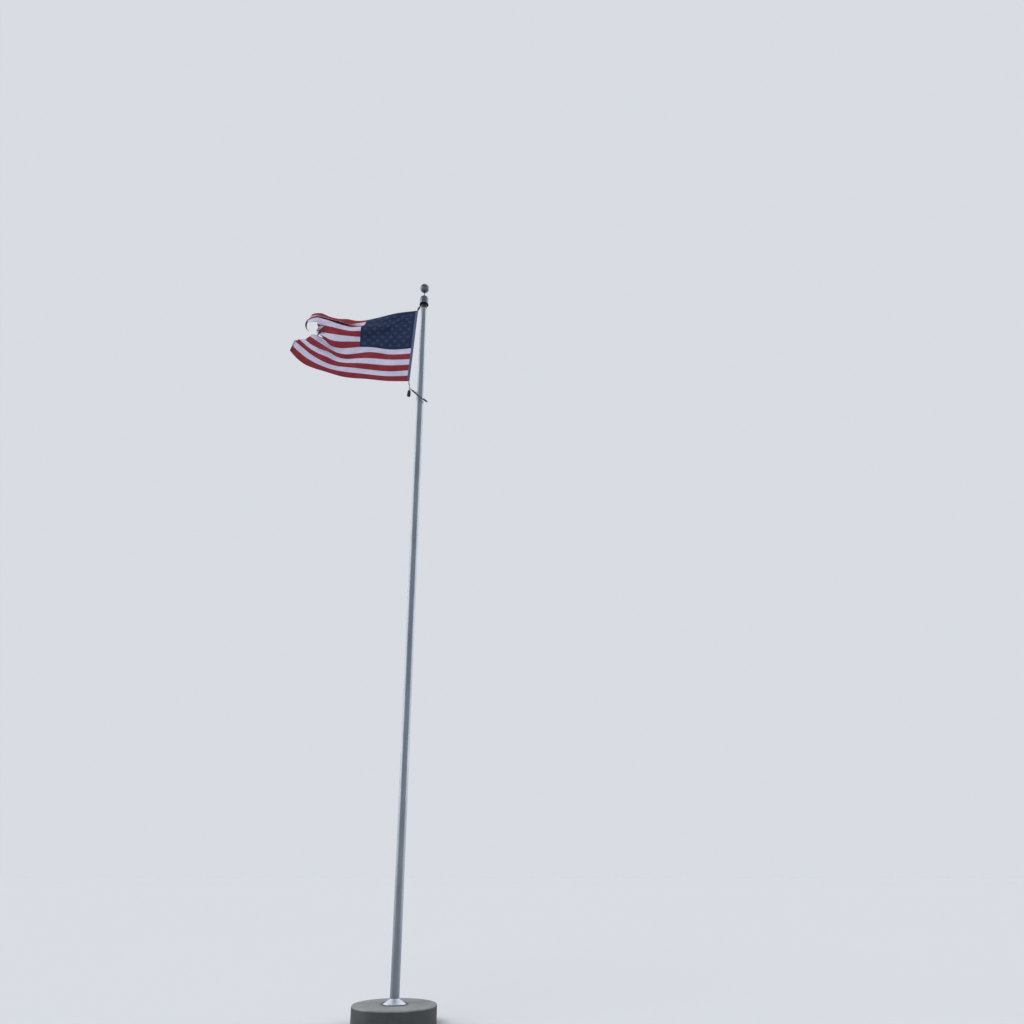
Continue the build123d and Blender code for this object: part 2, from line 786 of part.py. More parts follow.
with BuildPart() as snap_swivel:
    wire_ring(snap_eye_at, (0, 1, 0), eye_radius, eye_wire)
    wire_bar(cover_top, snap_eye_at - up_snap * (eye_radius + bar_short), eye_wire + bar_thicker)

with BuildPart() as snap_hook:
    wire_ring(hook_at, across_snap, hook_radius, hook_wire)
    wire_bar(cover_foot, hook_at + up_snap * (hook_radius + bar_short), hook_wire + bar_thicker)


def cover_profile(low, high, middle_radius, end_radius):
    """Half outline of a round cover that narrows to both ends, revolved about its own axis."""
    length = (high - low).length
    with BuildSketch(leaning(low, high - low)) as outline:
        with BuildLine():
            Line((0, 0), (end_radius, 0))
            ThreePointArc((end_radius, 0), (middle_radius, length / 2), (end_radius, length))
            Line((end_radius, length), (0, length))
            Line((0, length), (0, 0))
        make_face()
    revolve(outline.sketch, axis=Axis(low, high - low))


with BuildPart() as snap_cover:
    cover_profile(cover_foot, cover_top, snap_cover_radius, snap_cover_end_radius)

# Quick link that joins the lower snap, the counterweight and the retainer loop
link_at = Vector(link_x, 0, lower_corner.Z - link_below_corner)
link_half = link_straight / 2
with BuildPart() as quick_link:
    with BuildLine():
        side_line = Line(
            (link_at.X + link_half_width, 0, link_at.Z - link_half),
            (link_at.X + link_half_width, 0, link_at.Z + link_half),
        )
        ThreePointArc(
            side_line @ 1,
            (link_at.X, 0, link_at.Z + link_half + link_half_width),
            (link_at.X - link_half_width, 0, link_at.Z + link_half),
        )
        Line(
            (link_at.X - link_half_width, 0, link_at.Z + link_half),
            (link_at.X - link_half_width, 0, link_at.Z - link_half),
        )
        ThreePointArc(
            (link_at.X - link_half_width, 0, link_at.Z - link_half),
            (link_at.X, 0, link_at.Z - link_half - link_half_width),
            side_line @ 0,
        )
    with BuildSketch(Plane(origin=side_line @ 0, z_dir=(0, 0, 1))):
        RegularPolygon(link_wire, wire_sides)
    sweep()

# Lower snap, from the lower grommet to the link
link_end = link_half + link_half_width - link_wire - fit_gap
lower_eye_seat = link_at + Vector(0, 0, link_end - eye_wire)
down_snap = (lower_eye_seat - lower_grommet_at).normalized()
across_lower = Vector(down_snap.Z, 0, -down_snap.X)
lower_hook_at = lower_grommet_at + down_snap * (hook_rise + hook_radius)
lower_eye_at = lower_eye_seat - down_snap * eye_radius
lower_cover_top = lower_hook_at + down_snap * (hook_radius + hook_wire + lower_snap_gap)
lower_cover_foot = lower_eye_at - down_snap * (eye_radius + eye_wire + lower_snap_gap)

with BuildPart() as lower_snap_hook:
    wire_ring(lower_hook_at, across_lower, hook_radius, hook_wire)
    wire_bar(lower_cover_top, lower_hook_at + down_snap * (hook_radius + bar_short), hook_wire + bar_thicker)

with BuildPart() as lower_snap_swivel:
    wire_ring(lower_eye_at, across_lower, eye_radius, eye_wire)
    wire_bar(lower_cover_foot, lower_eye_at - down_snap * (eye_radius + bar_short), eye_wire + bar_thicker)

with BuildPart() as lower_snap_body:
    cover_profile(lower_cover_foot, lower_cover_top, lower_snap_radius, lower_snap_end_radius)

# Counterweight with its eye
weight_tilt = math.radians(weight_lean)
weight_down = Vector(-math.sin(weight_tilt), 0, -math.cos(weight_tilt))
weight_eye_seat = link_at - Vector(0, 0, link_end - eye_wire)
weight_eye_at = weight_eye_seat + weight_down * eye_radius
weight_top = weight_eye_at + weight_down * (eye_radius + eye_wire + weight_gap)
weight_foot = weight_top + weight_down * weight_length

with BuildPart() as weight_eye:
    wire_ring(weight_eye_at, Vector(weight_down.Z, 0, -weight_down.X), eye_radius, eye_wire)
    wire_bar(weight_top, weight_eye_at + weight_down * (eye_radius + bar_short), eye_wire + bar_thicker)

with BuildPart() as counterweight:
    with BuildSketch(Plane(origin=weight_foot, z_dir=weight_top - weight_foot)):
        Circle(weight_radius)
    extrude(amount=weight_length)
    fillet(counterweight.edges().filter_by(GeomType.CIRCLE), radius=weight_nose_radius)

# Retainer loop: a cable and its rollers, in a plane that slopes down across the shaft
loop_start_x = link_at.X + link_half_width - link_wire - 2 * fit_gap - loop_cable_radius
loop_z = link_at.Z - loop_slope_x * loop_start_x
along_loop = Vector(1, 0, loop_slope_x).normalized()
loop_normal = Vector(-loop_slope_x, -loop_slope_y, 1).normalized()
loop_plane = Plane(origin=(0, 0, loop_z), x_dir=along_loop, z_dir=loop_normal)
near_end = loop_start_x / along_loop.X
far_end = loop_far_x / along_loop.X
small_centre = near_end + loop_small_radius
large_centre = far_end - loop_large_radius
spread = math.asin((loop_large_radius - loop_small_radius) / (large_centre - small_centre))


def on_loop(centre, radius, side):
    """Place where a straight side of the loop leaves one of its arcs."""
    return (centre - radius * math.sin(spread), side * radius * math.cos(spread))


with BuildPart() as retainer_cable:
    with BuildLine(loop_plane):
        lower_side = Line(
            on_loop(small_centre, loop_small_radius, -1), on_loop(large_centre, loop_large_radius, -1)
        )
        ThreePointArc(
            on_loop(large_centre, loop_large_radius, -1),
            (large_centre + loop_large_radius, 0),
            on_loop(large_centre, loop_large_radius, 1),
        )
        Line(on_loop(large_centre, loop_large_radius, 1), on_loop(small_centre, loop_small_radius, 1))
        ThreePointArc(
            on_loop(small_centre, loop_small_radius, 1),
            (near_end, 0),
            on_loop(small_centre, loop_small_radius, -1),
        )
    with BuildSketch(Plane(origin=lower_side @ 0, z_dir=lower_side % 0)):
        RegularPolygon(loop_cable_radius, wire_sides)
    sweep()

side_length = lower_side.length
arc_length = loop_large_radius * (math.pi + 2 * spread)
roller_run = 2 * side_length + arc_length - 2 * roller_free_end
roller_count = int(roller_run // roller_pitch)


def roller_place(distance):
    """Point and direction on the loop, measured from where its lower side starts."""
    start = Vector(*on_loop(small_centre, loop_small_radius, -1))
    if distance < side_length:
        heading = math.pi / 2 - (math.pi / 2 + spread)
        point = start + Vector(math.cos(heading), math.sin(heading)) * distance
    elif distance < side_length + arc_length:
        turned = (distance - side_length) / loop_large_radius
        angle = -math.pi / 2 - spread + turned
        heading = angle + math.pi / 2
        point = Vector(large_centre, 0) + Vector(math.cos(angle), math.sin(angle)) * loop_large_radius
    else:
        heading = math.pi + spread
        back = distance - side_length - arc_length
        point = Vector(*on_loop(large_centre, loop_large_radius, 1))
        point = point + Vector(math.cos(heading), math.sin(heading)) * back
    return point, Vector(math.cos(heading), math.sin(heading))


with BuildPart() as retainer_rollers:
    for number in range(roller_count):
        centre, direction = roller_place(roller_free_end + (number + 0.5) * roller_run / roller_count)
        start = loop_plane.from_local_coords(centre - direction * roller_length / 2)
        end = loop_plane.from_local_coords(centre + direction * roller_length / 2)
        with BuildSketch(Plane(origin=start, z_dir=end - start)):
            RegularPolygon(roller_radius, roller_sides)
            RegularPolygon(roller_bore_radius, wire_sides, mode=Mode.SUBTRACT)
        extrude(amount=roller_length)

pieces = {
    "foundation_pier": foundation_pier,
    "ground_sleeve": ground_sleeve,
    "sleeve_packing": sleeve_packing,
    "shaft": shaft,
    "flash_collar": flash_collar,
    "collar_sealant": collar_sealant,
    "door_frame": door_frame,
    "access_door": access_door,
    "door_hinge": door_hinge,
    "door_lock": door_lock,
    "halyard_cleat": halyard_cleat,
    "inner_halyard": inner_halyard,
    "truck_socket": truck_socket,
    "truck_boot": truck_boot,
    "truck_spindle": truck_spindle,
    "thrust_bearing": thrust_bearing,
    "retaining_collar": retaining_collar,
    "truck_yoke": truck_yoke,
    "sheave": sheave,
    "sheave_pin": sheave_pin,
    "halyard_bend": halyard_bend,
    "halyard_drop": halyard_drop,
    "truck_hood": truck_hood,
    "finial_stem": finial_stem,
    "stem_nut": stem_nut,
    "ball_neck": ball_neck,
    "ball_lower": ball_lower,
    "ball_upper": ball_upper,
    "flag_heading": flag_heading,
    "upper_grommet": upper_grommet,
    "lower_grommet": lower_grommet,
    "flag": flag,
    "halyard_eye": halyard_eye,
    "snap_swivel": snap_swivel,
    "snap_cover": snap_cover,
    "snap_hook": snap_hook,
    "quick_link": quick_link,
    "lower_snap_hook": lower_snap_hook,
    "lower_snap_body": lower_snap_body,
    "lower_snap_swivel": lower_snap_swivel,
    "weight_eye": weight_eye,
    "counterweight": counterweight,
    "retainer_cable": retainer_cable,
    "retainer_rollers": retainer_rollers,
}

os.makedirs("parts", exist_ok=True)
for name, piece in pieces.items():
    piece.part.label = name
    export_step(piece.part, f"parts/{name}.step")
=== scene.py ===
"""Looks of the flagpole: finishes, flag, fittings, floor and light round the fixed frame."""
import json
import math
import random

import bpy
import numpy as np
from mathutils import Matrix, Vector, noise


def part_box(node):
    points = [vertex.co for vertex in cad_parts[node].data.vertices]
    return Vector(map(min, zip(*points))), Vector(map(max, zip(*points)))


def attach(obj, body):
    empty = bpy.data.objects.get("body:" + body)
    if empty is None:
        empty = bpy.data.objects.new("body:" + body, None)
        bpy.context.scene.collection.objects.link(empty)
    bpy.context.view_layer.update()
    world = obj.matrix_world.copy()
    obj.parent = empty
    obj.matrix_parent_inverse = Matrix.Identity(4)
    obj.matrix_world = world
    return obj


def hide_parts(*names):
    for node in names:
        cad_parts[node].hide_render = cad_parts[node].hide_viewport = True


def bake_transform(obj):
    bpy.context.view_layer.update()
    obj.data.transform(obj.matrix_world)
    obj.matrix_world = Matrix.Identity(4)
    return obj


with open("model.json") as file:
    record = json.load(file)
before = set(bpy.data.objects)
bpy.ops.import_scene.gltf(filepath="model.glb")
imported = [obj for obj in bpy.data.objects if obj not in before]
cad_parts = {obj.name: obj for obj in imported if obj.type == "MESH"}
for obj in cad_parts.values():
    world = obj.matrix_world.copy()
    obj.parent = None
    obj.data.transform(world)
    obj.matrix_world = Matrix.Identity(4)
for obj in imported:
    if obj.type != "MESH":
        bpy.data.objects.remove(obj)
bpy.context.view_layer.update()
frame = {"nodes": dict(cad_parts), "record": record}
nodes = frame["nodes"]

# Camera, as in the photograph: metres from the pole's foot, pitch above the horizon
CAMERA_X = 1.2635
CAMERA_BACK = 9.30
CAMERA_HEIGHT = 1.518
CAMERA_PITCH = 18.14
CAMERA_FOCAL_PIXELS = 784.4
PHOTO_SIDE_PIXELS = 1024
PRINCIPAL_POINT_DOWN_PIXELS = 106
SENSOR_MM = 36.0

# Flag: real sizes in metres
FLY = 1.829
HOIST = 1.219
STRIPES = 13
STRIPE_WIDTH = HOIST / STRIPES
CANTON_LENGTH = 0.4 * FLY
CANTON_STRIPES = 7
STAR_RADIUS = 0.0308 * HOIST
FLY_HEM = 0.03
HEADING_WIDTH = 0.034
HEADING_OVERLAP = 0.008
HEADING_THICKNESS = 0.0032
CLOTH_THICKNESS = 0.0012
# Bow of the hoist edge under the wind: its depth, and how far out along the fly it dies away
BOW_DEPTH = 0.03
BOW_LENGTH = 0.5
# Ridge where the lower lobe folds over: where along the fly it starts and ends, over which lengths it
# rises and fades there, its row of stripes at the end, the rows that it drops in each metre back to the
# hoist, its half width in rows, its depth
RIDGE_START, RIDGE_RISES_OVER = 1.0, 0.2
RIDGE_END, RIDGE_FADES_OVER = 1.60, 0.1
RIDGE_ROW = 8.1
RIDGE_DROP = 2.2
RIDGE_HALF_WIDTH = 0.45
RIDGE_DEPTH = 0.035
# Folds that fan out from the upper snap, which lies off the cloth's corner: how many would fill a
# full turn, their depth, the fly at which they are full, and the distance over which they fade
FAN_CENTRE_OFF = 0.05
FAN_FULL_AT = 0.3
FAN_FOLDS = 18
FAN_DEPTH = 0.012
FAN_REACH = 0.7
# Waves and ripples from noise: their depth, how close they follow along the fly and down the rows,
# the fly at which they are full, and the layer of noise that they are read from
WAVES = ((0.026, 2.2, 0.55, 0.4, 3.0), (0.008, 9.0, 1.1, 0.2, 7.0))

# Fittings, where the frame has them
HOIST_CORNER = Vector((-0.080, 0.0, 9.195))
HOIST_LEAN = math.radians(3.7)
HEADING_LENGTH = 1.184
GROMMET_INSET = 0.015
GROMMET_DROP = 0.020
GROMMET_HOLE = 0.0068
HALYARD_EYE = Vector((-0.054, 0.0, 9.280))
QUICK_LINK = Vector((-0.1507, 0.0, 7.9015))


# Helpers


def deselect():
    """Clears the selection, which operators act on."""
    bpy.ops.object.select_all(action="DESELECT")


def choose(piece):
    """Makes one piece the only selected and active one."""
    deselect()
    piece.select_set(True)
    bpy.context.view_layer.objects.active = piece


def open_mesh(piece):
    """Starts work on the whole mesh of a piece."""
    choose(piece)
    bpy.ops.object.mode_set(mode="EDIT")
    bpy.ops.mesh.select_all(action="SELECT")


def close_mesh():
    """Ends work on a mesh, with its faces turned outwards."""
    bpy.ops.mesh.select_all(action="SELECT")
    bpy.ops.mesh.normals_make_consistent(inside=False)
    bpy.ops.object.mode_set(mode="OBJECT")


def join(*pieces):
    """Several shapes as one piece, with its place in its mesh."""
    deselect()
    for piece in pieces:
        piece.select_set(True)
    bpy.context.view_layer.objects.active = pieces[0]
    bpy.ops.object.join()
    bpy.ops.object.transform_apply(location=True, rotation=True, scale=True)
    return pieces[0]


def copy_of(piece):
    """Copy of a piece with a mesh of its own."""
    copy = piece.copy()
    copy.data = piece.data.copy()
    bpy.context.scene.collection.objects.link(copy)
    return copy


def points_of(piece):
    """Points of a mesh as rows of x, y and z."""
    return np.array([vertex.co for vertex in piece.data.vertices])


def lay(piece, points):
    """Moves each point of a mesh to its place in space."""
    piece.data.vertices.foreach_set("co", points.astype(np.float32).ravel())
    piece.data.update()


def apply_modifier(piece, kind, **settings):
    """Adds a modifier with its settings and applies it."""
    choose(piece)
    modifier = piece.modifiers.new(kind.title(), kind)
    for key, value in settings.items():
        setattr(modifier, key, value)
    bpy.ops.object.modifier_apply(modifier=modifier.name)


def smooth(piece, degrees=35):
    """Smooth shading with sharp edges kept."""
    choose(piece)
    bpy.ops.object.shade_smooth_by_angle(angle=math.radians(degrees))


def stand(piece, origin, up, front):
    """Places a shape made about the origin: its Z points up, its Y to the front."""
    up = Vector(up).normalized()
    front = (Vector(front) - up * up.dot(Vector(front))).normalized()
    turn = Matrix((front.cross(up), front, up)).transposed().to_4x4()
    piece.matrix_world = Matrix.Translation(origin) @ turn
    choose(piece)
    bpy.ops.object.transform_apply(location=True, rotation=True, scale=True)
    return piece


def turned(outline, sides=28):
    """Round shape about Z: a disc is drawn up and resized from one (radius, height) to the next."""
    deselect()
    radius, height = outline[0]
    bpy.ops.mesh.primitive_circle_add(
        vertices=sides, radius=radius, fill_type="NGON", location=(0, 0, height)
    )
    piece = bpy.context.active_object
    bpy.ops.object.transform_apply(location=True)
    open_mesh(piece)
    for next_radius, next_height in outline[1:]:
        bpy.ops.mesh.extrude_region_move(TRANSFORM_OT_translate={"value": (0, 0, next_height - height)})
        grow = next_radius / radius
        bpy.ops.transform.resize(value=(grow, grow, 1), center_override=(0, 0, next_height))
        radius, height = next_radius, next_height
    close_mesh()
    smooth(piece)
    return piece


BEND_STEP_DEGREES = 12


def bent_wire(radius, start, onward, moves, sides=12, closed=False):
    """Round wire: a disc at start is drawn onward by a length, or turned by (centre, axis, degrees)."""
    deselect()
    bpy.ops.mesh.primitive_circle_add(vertices=sides, radius=radius, fill_type="NGON")
    piece = bpy.context.active_object
    onward = Vector(onward).normalized()
    stand(piece, Vector(start), onward, onward.orthogonal())
    open_mesh(piece)
    for move in moves:
        if isinstance(move, float):
            bpy.ops.mesh.extrude_region_move(TRANSFORM_OT_translate={"value": onward * move})
        else:
            centre, axis, degrees = move
            # The spin turns left-handed about its axis
            bpy.ops.mesh.spin(
                steps=max(2, int(abs(degrees) / BEND_STEP_DEGREES)),
                angle=-math.radians(degrees),
                center=centre,
                axis=axis,
                use_auto_merge=False,
            )
            onward.rotate(Matrix.Rotation(math.radians(degrees), 3, Vector(axis)))
    if closed:
        bpy.ops.mesh.select_all(action="DESELECT")
        bpy.ops.mesh.select_face_by_sides(number=sides)
        bpy.ops.mesh.delete(type="ONLY_FACE")
        bpy.ops.mesh.select_all(action="SELECT")
        bpy.ops.mesh.remove_doubles(threshold=radius / 100)
    close_mesh()
    smooth(piece, 50)
    return piece


def linear(hex_colour):
    """Linear colour of an sRGB hex value."""
    parts = [int(hex_colour[i : i + 2], 16) / 255 for i in (1, 3, 5)]
    return [c / 12.92 if c <= 0.04045 else ((c + 0.055) / 1.055) ** 2.4 for c in parts] + [1.0]


def smooth_between(knots, values, places):
    """Smooth course through values at knots, read at places; values are (knot, place, coordinate)."""
    knots, places = np.array(knots, float), np.asarray(places, float)
    values = np.broadcast_to(values, (len(knots), len(places), 3))
    slopes = np.gradient(values, knots, axis=0)
    span = np.clip(np.searchsorted(knots, places, side="right") - 1, 0, len(knots) - 2)
    width = (knots[span + 1] - knots[span])[:, None]
    share = (places - knots[span])[:, None] / width
    own = np.arange(len(places))
    return (
        values[span, own] * (2 * share**3 - 3 * share**2 + 1)
        + slopes[span, own] * width * (share**3 - 2 * share**2 + share)
        + values[span + 1, own] * (3 * share**2 - 2 * share**3)
        + slopes[span + 1, own] * width * (share**3 - share**2)
    )


# Materials


def new_material(name):
    """Empty node material with its shader; returns the material, its tree and the shader."""
    material = bpy.data.materials.new(name)
    material.use_nodes = True
    tree = material.node_tree
    return material, tree, tree.nodes["Principled BSDF"]


def add_node(tree, kind, settings=None, inputs=None):
    """Adds a node, sets its properties, and gives its inputs values or links from sockets."""
    node = tree.nodes.new(kind)
    for key, value in (settings or {}).items():
        setattr(node, key, value)
    for key, value in (inputs or {}).items():
        if isinstance(value, bpy.types.NodeSocket):
            tree.links.new(value, node.inputs[key])
        else:
            node.inputs[key].default_value = value
    return node


# Colour mix: its kind and setting, and the places of its share, its two colours and its result
COLOUR_MIX = ("ShaderNodeMix", {"data_type": "RGBA"})
SHARE, FIRST, SECOND, RESULT = 0, 6, 7, 2
# Stretches of a grain along X, Y and Z: a small share draws it out that way
EVEN = (1, 1, 1)
UP_TUBE = (1, 1, 0.12)
ROUND_TUBE = (0.02, 0.02, 1)
ALONG_WIRE = (1, 1, 0.1)
# Levels of the noise at which patches have their full dark and full light colour
PATCH_LEVELS = (0.32, 0.68)
RELIEF_STRENGTH = 0.6


def grain(tree, size_mm, stretch=EVEN, detail=6.0):
    """Noise of a real size, drawn out by a stretch; returns its factor."""
    coordinates = add_node(tree, "ShaderNodeTexCoord")
    place = add_node(
        tree, "ShaderNodeMapping", {}, {"Vector": coordinates.outputs["Object"], "Scale": stretch}
    ).outputs[0]
    cloud = add_node(
        tree, "ShaderNodeTexNoise", {}, {"Vector": place, "Scale": 1000.0 / size_mm, "Detail": detail}
    )
    return cloud.outputs["Fac"]


def patches(tree, low, high, size_mm, stretch=EVEN, detail=6.0):
    """Two colours in patches of a real size; returns the colour, and the factor that it follows."""
    factor = grain(tree, size_mm, stretch, detail)
    ramp = add_node(tree, "ShaderNodeValToRGB", {}, {"Fac": factor})
    for stop, level, colour in zip(ramp.color_ramp.elements, PATCH_LEVELS, (low, high)):
        stop.position = level
        stop.color = linear(colour)
    return ramp.outputs["Color"], factor


def finish(tree, shader, colour, marks, rough, depth_mm):
    """Gives the shader its colour, and roughness and relief that follow its marks."""
    spread = add_node(
        tree, "ShaderNodeMapRange", {}, {"Value": marks, "To Min": rough[0], "To Max": rough[1]}
    )
    bump = add_node(
        tree,
        "ShaderNodeBump",
        {},
        {"Height": marks, "Strength": RELIEF_STRENGTH, "Distance": depth_mm / 1000},
    )
    tree.links.new(colour, shader.inputs["Base Color"])
    tree.links.new(spread.outputs[0], shader.inputs["Roughness"])
    tree.links.new(bump.outputs[0], shader.inputs["Normal"])


def worked_metal(name, low, high, tarnish, rough, marks, depth_mm):
    """Metal with tarnish in patches and with tool marks, each of a size in mm and a stretch."""
    material, tree, shader = new_material(name)
    shader.inputs["Metallic"].default_value = 1.0
    colour, _ = patches(tree, low, high, *tarnish)
    finish(tree, shader, colour, grain(tree, *marks, 3.0), rough, depth_mm)
    return material


def moulded(name, low, high, grain_mm, rough, depth_mm=0.1):
    """Vinyl, nylon, rubber or the like with a fine matt grain."""
    material, tree, shader = new_material(name)
    shader.inputs["Specular IOR Level"].default_value = 0.35
    colour, matt = patches(tree, low, high, grain_mm)
    finish(tree, shader, colour, matt, rough, depth_mm)
    return material


# Aluminium tube, ground on a belt and anodised: a soft sheen, with the marks running round it
satin_aluminium = worked_metal(
    "satin_ground_aluminium", "#757B85", "#868C95", (60, UP_TUBE), (0.28, 0.42), (3.0, ROUND_TUBE), 0.05
)
# Aluminium sheet spun on a lathe, weathered: turning marks and a dull bloom
spun_aluminium = worked_metal(
    "spun_aluminium_weathered", "#4F545D", "#6B7079", (45, EVEN), (0.30, 0.46), (2.0, ROUND_TUBE), 0.05
)
# Aluminium as cast: matt and even
cast_aluminium = worked_metal(
    "cast_aluminium_raw", "#64676C", "#7B7E83", (20, EVEN), (0.50, 0.66), (1.2, EVEN), 0.15
)
# Stainless steel wire and rod, drawn, dulled by weather: fine lines along it
stainless = worked_metal(
    "stainless_steel_drawn", "#3A3C41", "#565860", (12, EVEN), (0.28, 0.44), (0.8, ALONG_WIRE), 0.03
)
# Steel dipped in zinc: grey spangle
galvanised = worked_metal(
    "galvanised_steel_spangle", "#7C8084", "#9A9DA1", (9, EVEN), (0.40, 0.60), (2.5, EVEN), 0.08
)
# Brass, browned by weather in places
brass = worked_metal("brass_weathered", "#5F4E2B", "#8C7440", (5, EVEN), (0.34, 0.52), (1.0, EVEN), 0.04)
# Steel cable with a PVC coat: black and half gloss
coated_cable = moulded("pvc_coated_cable", "#0C0D10", "#16171B", 1.5, (0.36, 0.50))
# Vinyl dipped over steel: black and soft
black_vinyl = moulded("dipped_vinyl_black", "#0A0B0E", "#17181C", 3.0, (0.40, 0.56))
# Nylon, machined: dark grey, smooth
nylon_machined = moulded("machined_nylon", "#1C1D20", "#26272B", 2.0, (0.34, 0.48))
# Silicone sealant, greyed by dust
sealant = moulded("silicone_sealant_grey", "#6C6D6D", "#858684", 8.0, (0.48, 0.62))
# Dry sand packed round the tube
packing = moulded("packed_sand", "#7C705C", "#9A8D76", 2.0, (0.82, 0.97), 0.6)

# Distances from the pole's axis between which the collar's bright cone turns to its dark flange
DARK_RING_INNER, DARK_RING_OUTER = 0.117, 0.126


def collar_metal():
    """Flash collar of spun aluminium: bright cone, with a dark, not metallic ring on the flat flange round
    it.
    """
    material, tree, shader = new_material("spun_aluminium_dark_flange")
    bright, _ = patches(tree, "#CED7E2", "#EAEFF4", 30)
    dark_ring, ring_grain = patches(tree, "#25282C", "#3D4146", 4)
    coordinates = add_node(tree, "ShaderNodeTexCoord").outputs["Object"]
    # The flat flange beyond the cone is coloured dark and not metallic, with a soft edge
    flat = add_node(
        tree, "ShaderNodeVectorMath", {"operation": "MULTIPLY"}, {0: coordinates, 1: (1, 1, 0)}
    )
    reach = add_node(tree, "ShaderNodeVectorMath", {"operation": "LENGTH"}, {0: flat.outputs[0]})
    ring_share = add_node(
        tree,
        "ShaderNodeMapRange",
        {},
        {"Value": reach.outputs["Value"], "From Min": DARK_RING_INNER, "From Max": DARK_RING_OUTER},
    ).outputs[0]
    metallic_share = add_node(tree, "ShaderNodeMapRange", {}, {"Value": ring_share, "To Min": 1.0, "To Max": 0.0})
    ringed = add_node(tree, *COLOUR_MIX, {SHARE: ring_share, FIRST: bright, SECOND: dark_ring})
    finish(tree, shader, ringed.outputs[RESULT], ring_grain, (0.30, 0.44), 0.05)
    tree.links.new(metallic_share.outputs[0], shader.inputs["Metallic"])
    return material


# Painted shade on the pier's side, which is darker than its lit top: how high it reaches, the height over
# which it fades, and how much colour stays
SIDE_SHADE_HEIGHT = 0.186
SIDE_SHADE_EDGE = 0.012
SIDE_SHADE_KEPT = 0.28
# How much of the concrete's colour is its sand's
SAND_SHARE = 0.35


def cast_concrete():
    """Concrete cast in a round form: trowelled top, side darkened by painted shade, pores and fine sand."""
    material, tree, shader = new_material("cast_concrete_trowelled")
    shader.inputs["Specular IOR Level"].default_value = 0.25
    base, wide = patches(tree, "#707476", "#8B8F92", 220, EVEN, 8.0)
    sand, grains = patches(tree, "#626567", "#999C9D", 5, EVEN, 4.0)
    mixed = add_node(tree, *COLOUR_MIX, {SHARE: SAND_SHARE, FIRST: base, SECOND: sand})
    coordinates = add_node(tree, "ShaderNodeTexCoord").outputs["Object"]
    height = add_node(tree, "ShaderNodeSeparateXYZ", {}, {"Vector": coordinates}).outputs["Z"]
    ragged = add_node(
        tree, "ShaderNodeMath", {"operation": "MULTIPLY_ADD"}, {0: wide, 1: SIDE_SHADE_EDGE, 2: height}
    )
    # Painted shade: below the pier's top edge the colour keeps only a share, with a ragged edge
    side_shade = add_node(
        tree,
        "ShaderNodeMapRange",
        {},
        {
            "Value": ragged.outputs[0],
            "From Min": SIDE_SHADE_HEIGHT,
            "From Max": SIDE_SHADE_HEIGHT + SIDE_SHADE_EDGE,
            "To Min": SIDE_SHADE_KEPT,
            "To Max": 1.0,
        },
    )
    darkened = add_node(
        tree,
        "ShaderNodeMix",
        {"data_type": "RGBA", "blend_type": "MULTIPLY"},
        {SHARE: 1.0, FIRST: mixed.outputs[RESULT], SECOND: side_shade.outputs[0]},
    )
    finish(tree, shader, darkened.outputs[RESULT], grains, (0.82, 0.97), 0.5)
    return material


# Rows of stitches: half their width at a seam as a share of a stripe, and how strongly they darken
SEAM_SHARE = 0.03
STITCH_STRENGTH = 0.5


def stitched(tree, cloth_map, faded):
    """Colour of flag cloth whose seams and fly hem show as darker rows of stitches."""
    place = add_node(tree, "ShaderNodeSeparateXYZ", {}, {"Vector": cloth_map})
    row = add_node(
        tree, "ShaderNodeMath", {"operation": "DIVIDE"}, {0: place.outputs["Y"], 1: STRIPE_WIDTH}
    )
    from_seam = add_node(tree, "ShaderNodeMath", {"operation": "PINGPONG"}, {0: row.outputs[0], 1: 0.5})
    on_seam = add_node(
        tree, "ShaderNodeMath", {"operation": "LESS_THAN"}, {0: from_seam.outputs[0], 1: SEAM_SHARE}
    )
    on_hem = add_node(
        tree, "ShaderNodeMath", {"operation": "GREATER_THAN"}, {0: place.outputs["X"], 1: FLY - FLY_HEM}
    )
    marked = add_node(
        tree, "ShaderNodeMath", {"operation": "MAXIMUM"}, {0: on_seam.outputs[0], 1: on_hem.outputs[0]}
    )
    share = add_node(
        tree, "ShaderNodeMath", {"operation": "MULTIPLY"}, {0: marked.outputs[0], 1: STITCH_STRENGTH}
    )
    sewn = add_node(
        tree, *COLOUR_MIX, {SHARE: share.outputs[0], FIRST: faded, SECOND: linear("#33202E")}
    )
    return sewn.outputs[RESULT]


def woven(name, low, high, patch_mm, thread_mm, depth_mm, sewn=False):
    """Woven cloth on its own map, whose unit is a metre: crossed threads, and fading in patches."""
    material, tree, shader = new_material(name)
    shader.inputs["Specular IOR Level"].default_value = 0.12
    cloth_map = add_node(tree, "ShaderNodeUVMap", {"uv_map": "cloth"}).outputs[0]
    threads = [
        add_node(
            tree,
            "ShaderNodeTexWave",
            {"bands_direction": direction},
            {"Vector": cloth_map, "Scale": 1000.0 * math.pi / 10 / thread_mm, "Distortion": 0.4},
        ).outputs["Fac"]
        for direction in ("X", "Y")
    ]
    crossed = add_node(tree, "ShaderNodeMath", {"operation": "MAXIMUM"}, {0: threads[0], 1: threads[1]})
    cloud = add_node(
        tree, "ShaderNodeTexNoise", {}, {"Vector": cloth_map, "Scale": 1000.0 / patch_mm, "Detail": 5.0}
    )
    colour = add_node(
        tree,
        *COLOUR_MIX,
        {SHARE: cloud.outputs["Fac"], FIRST: linear(low), SECOND: linear(high)},
    ).outputs[RESULT]
    if sewn:
        colour = stitched(tree, cloth_map, colour)
    finish(tree, shader, colour, crossed.outputs[0], (0.78, 0.92), depth_mm)
    return material


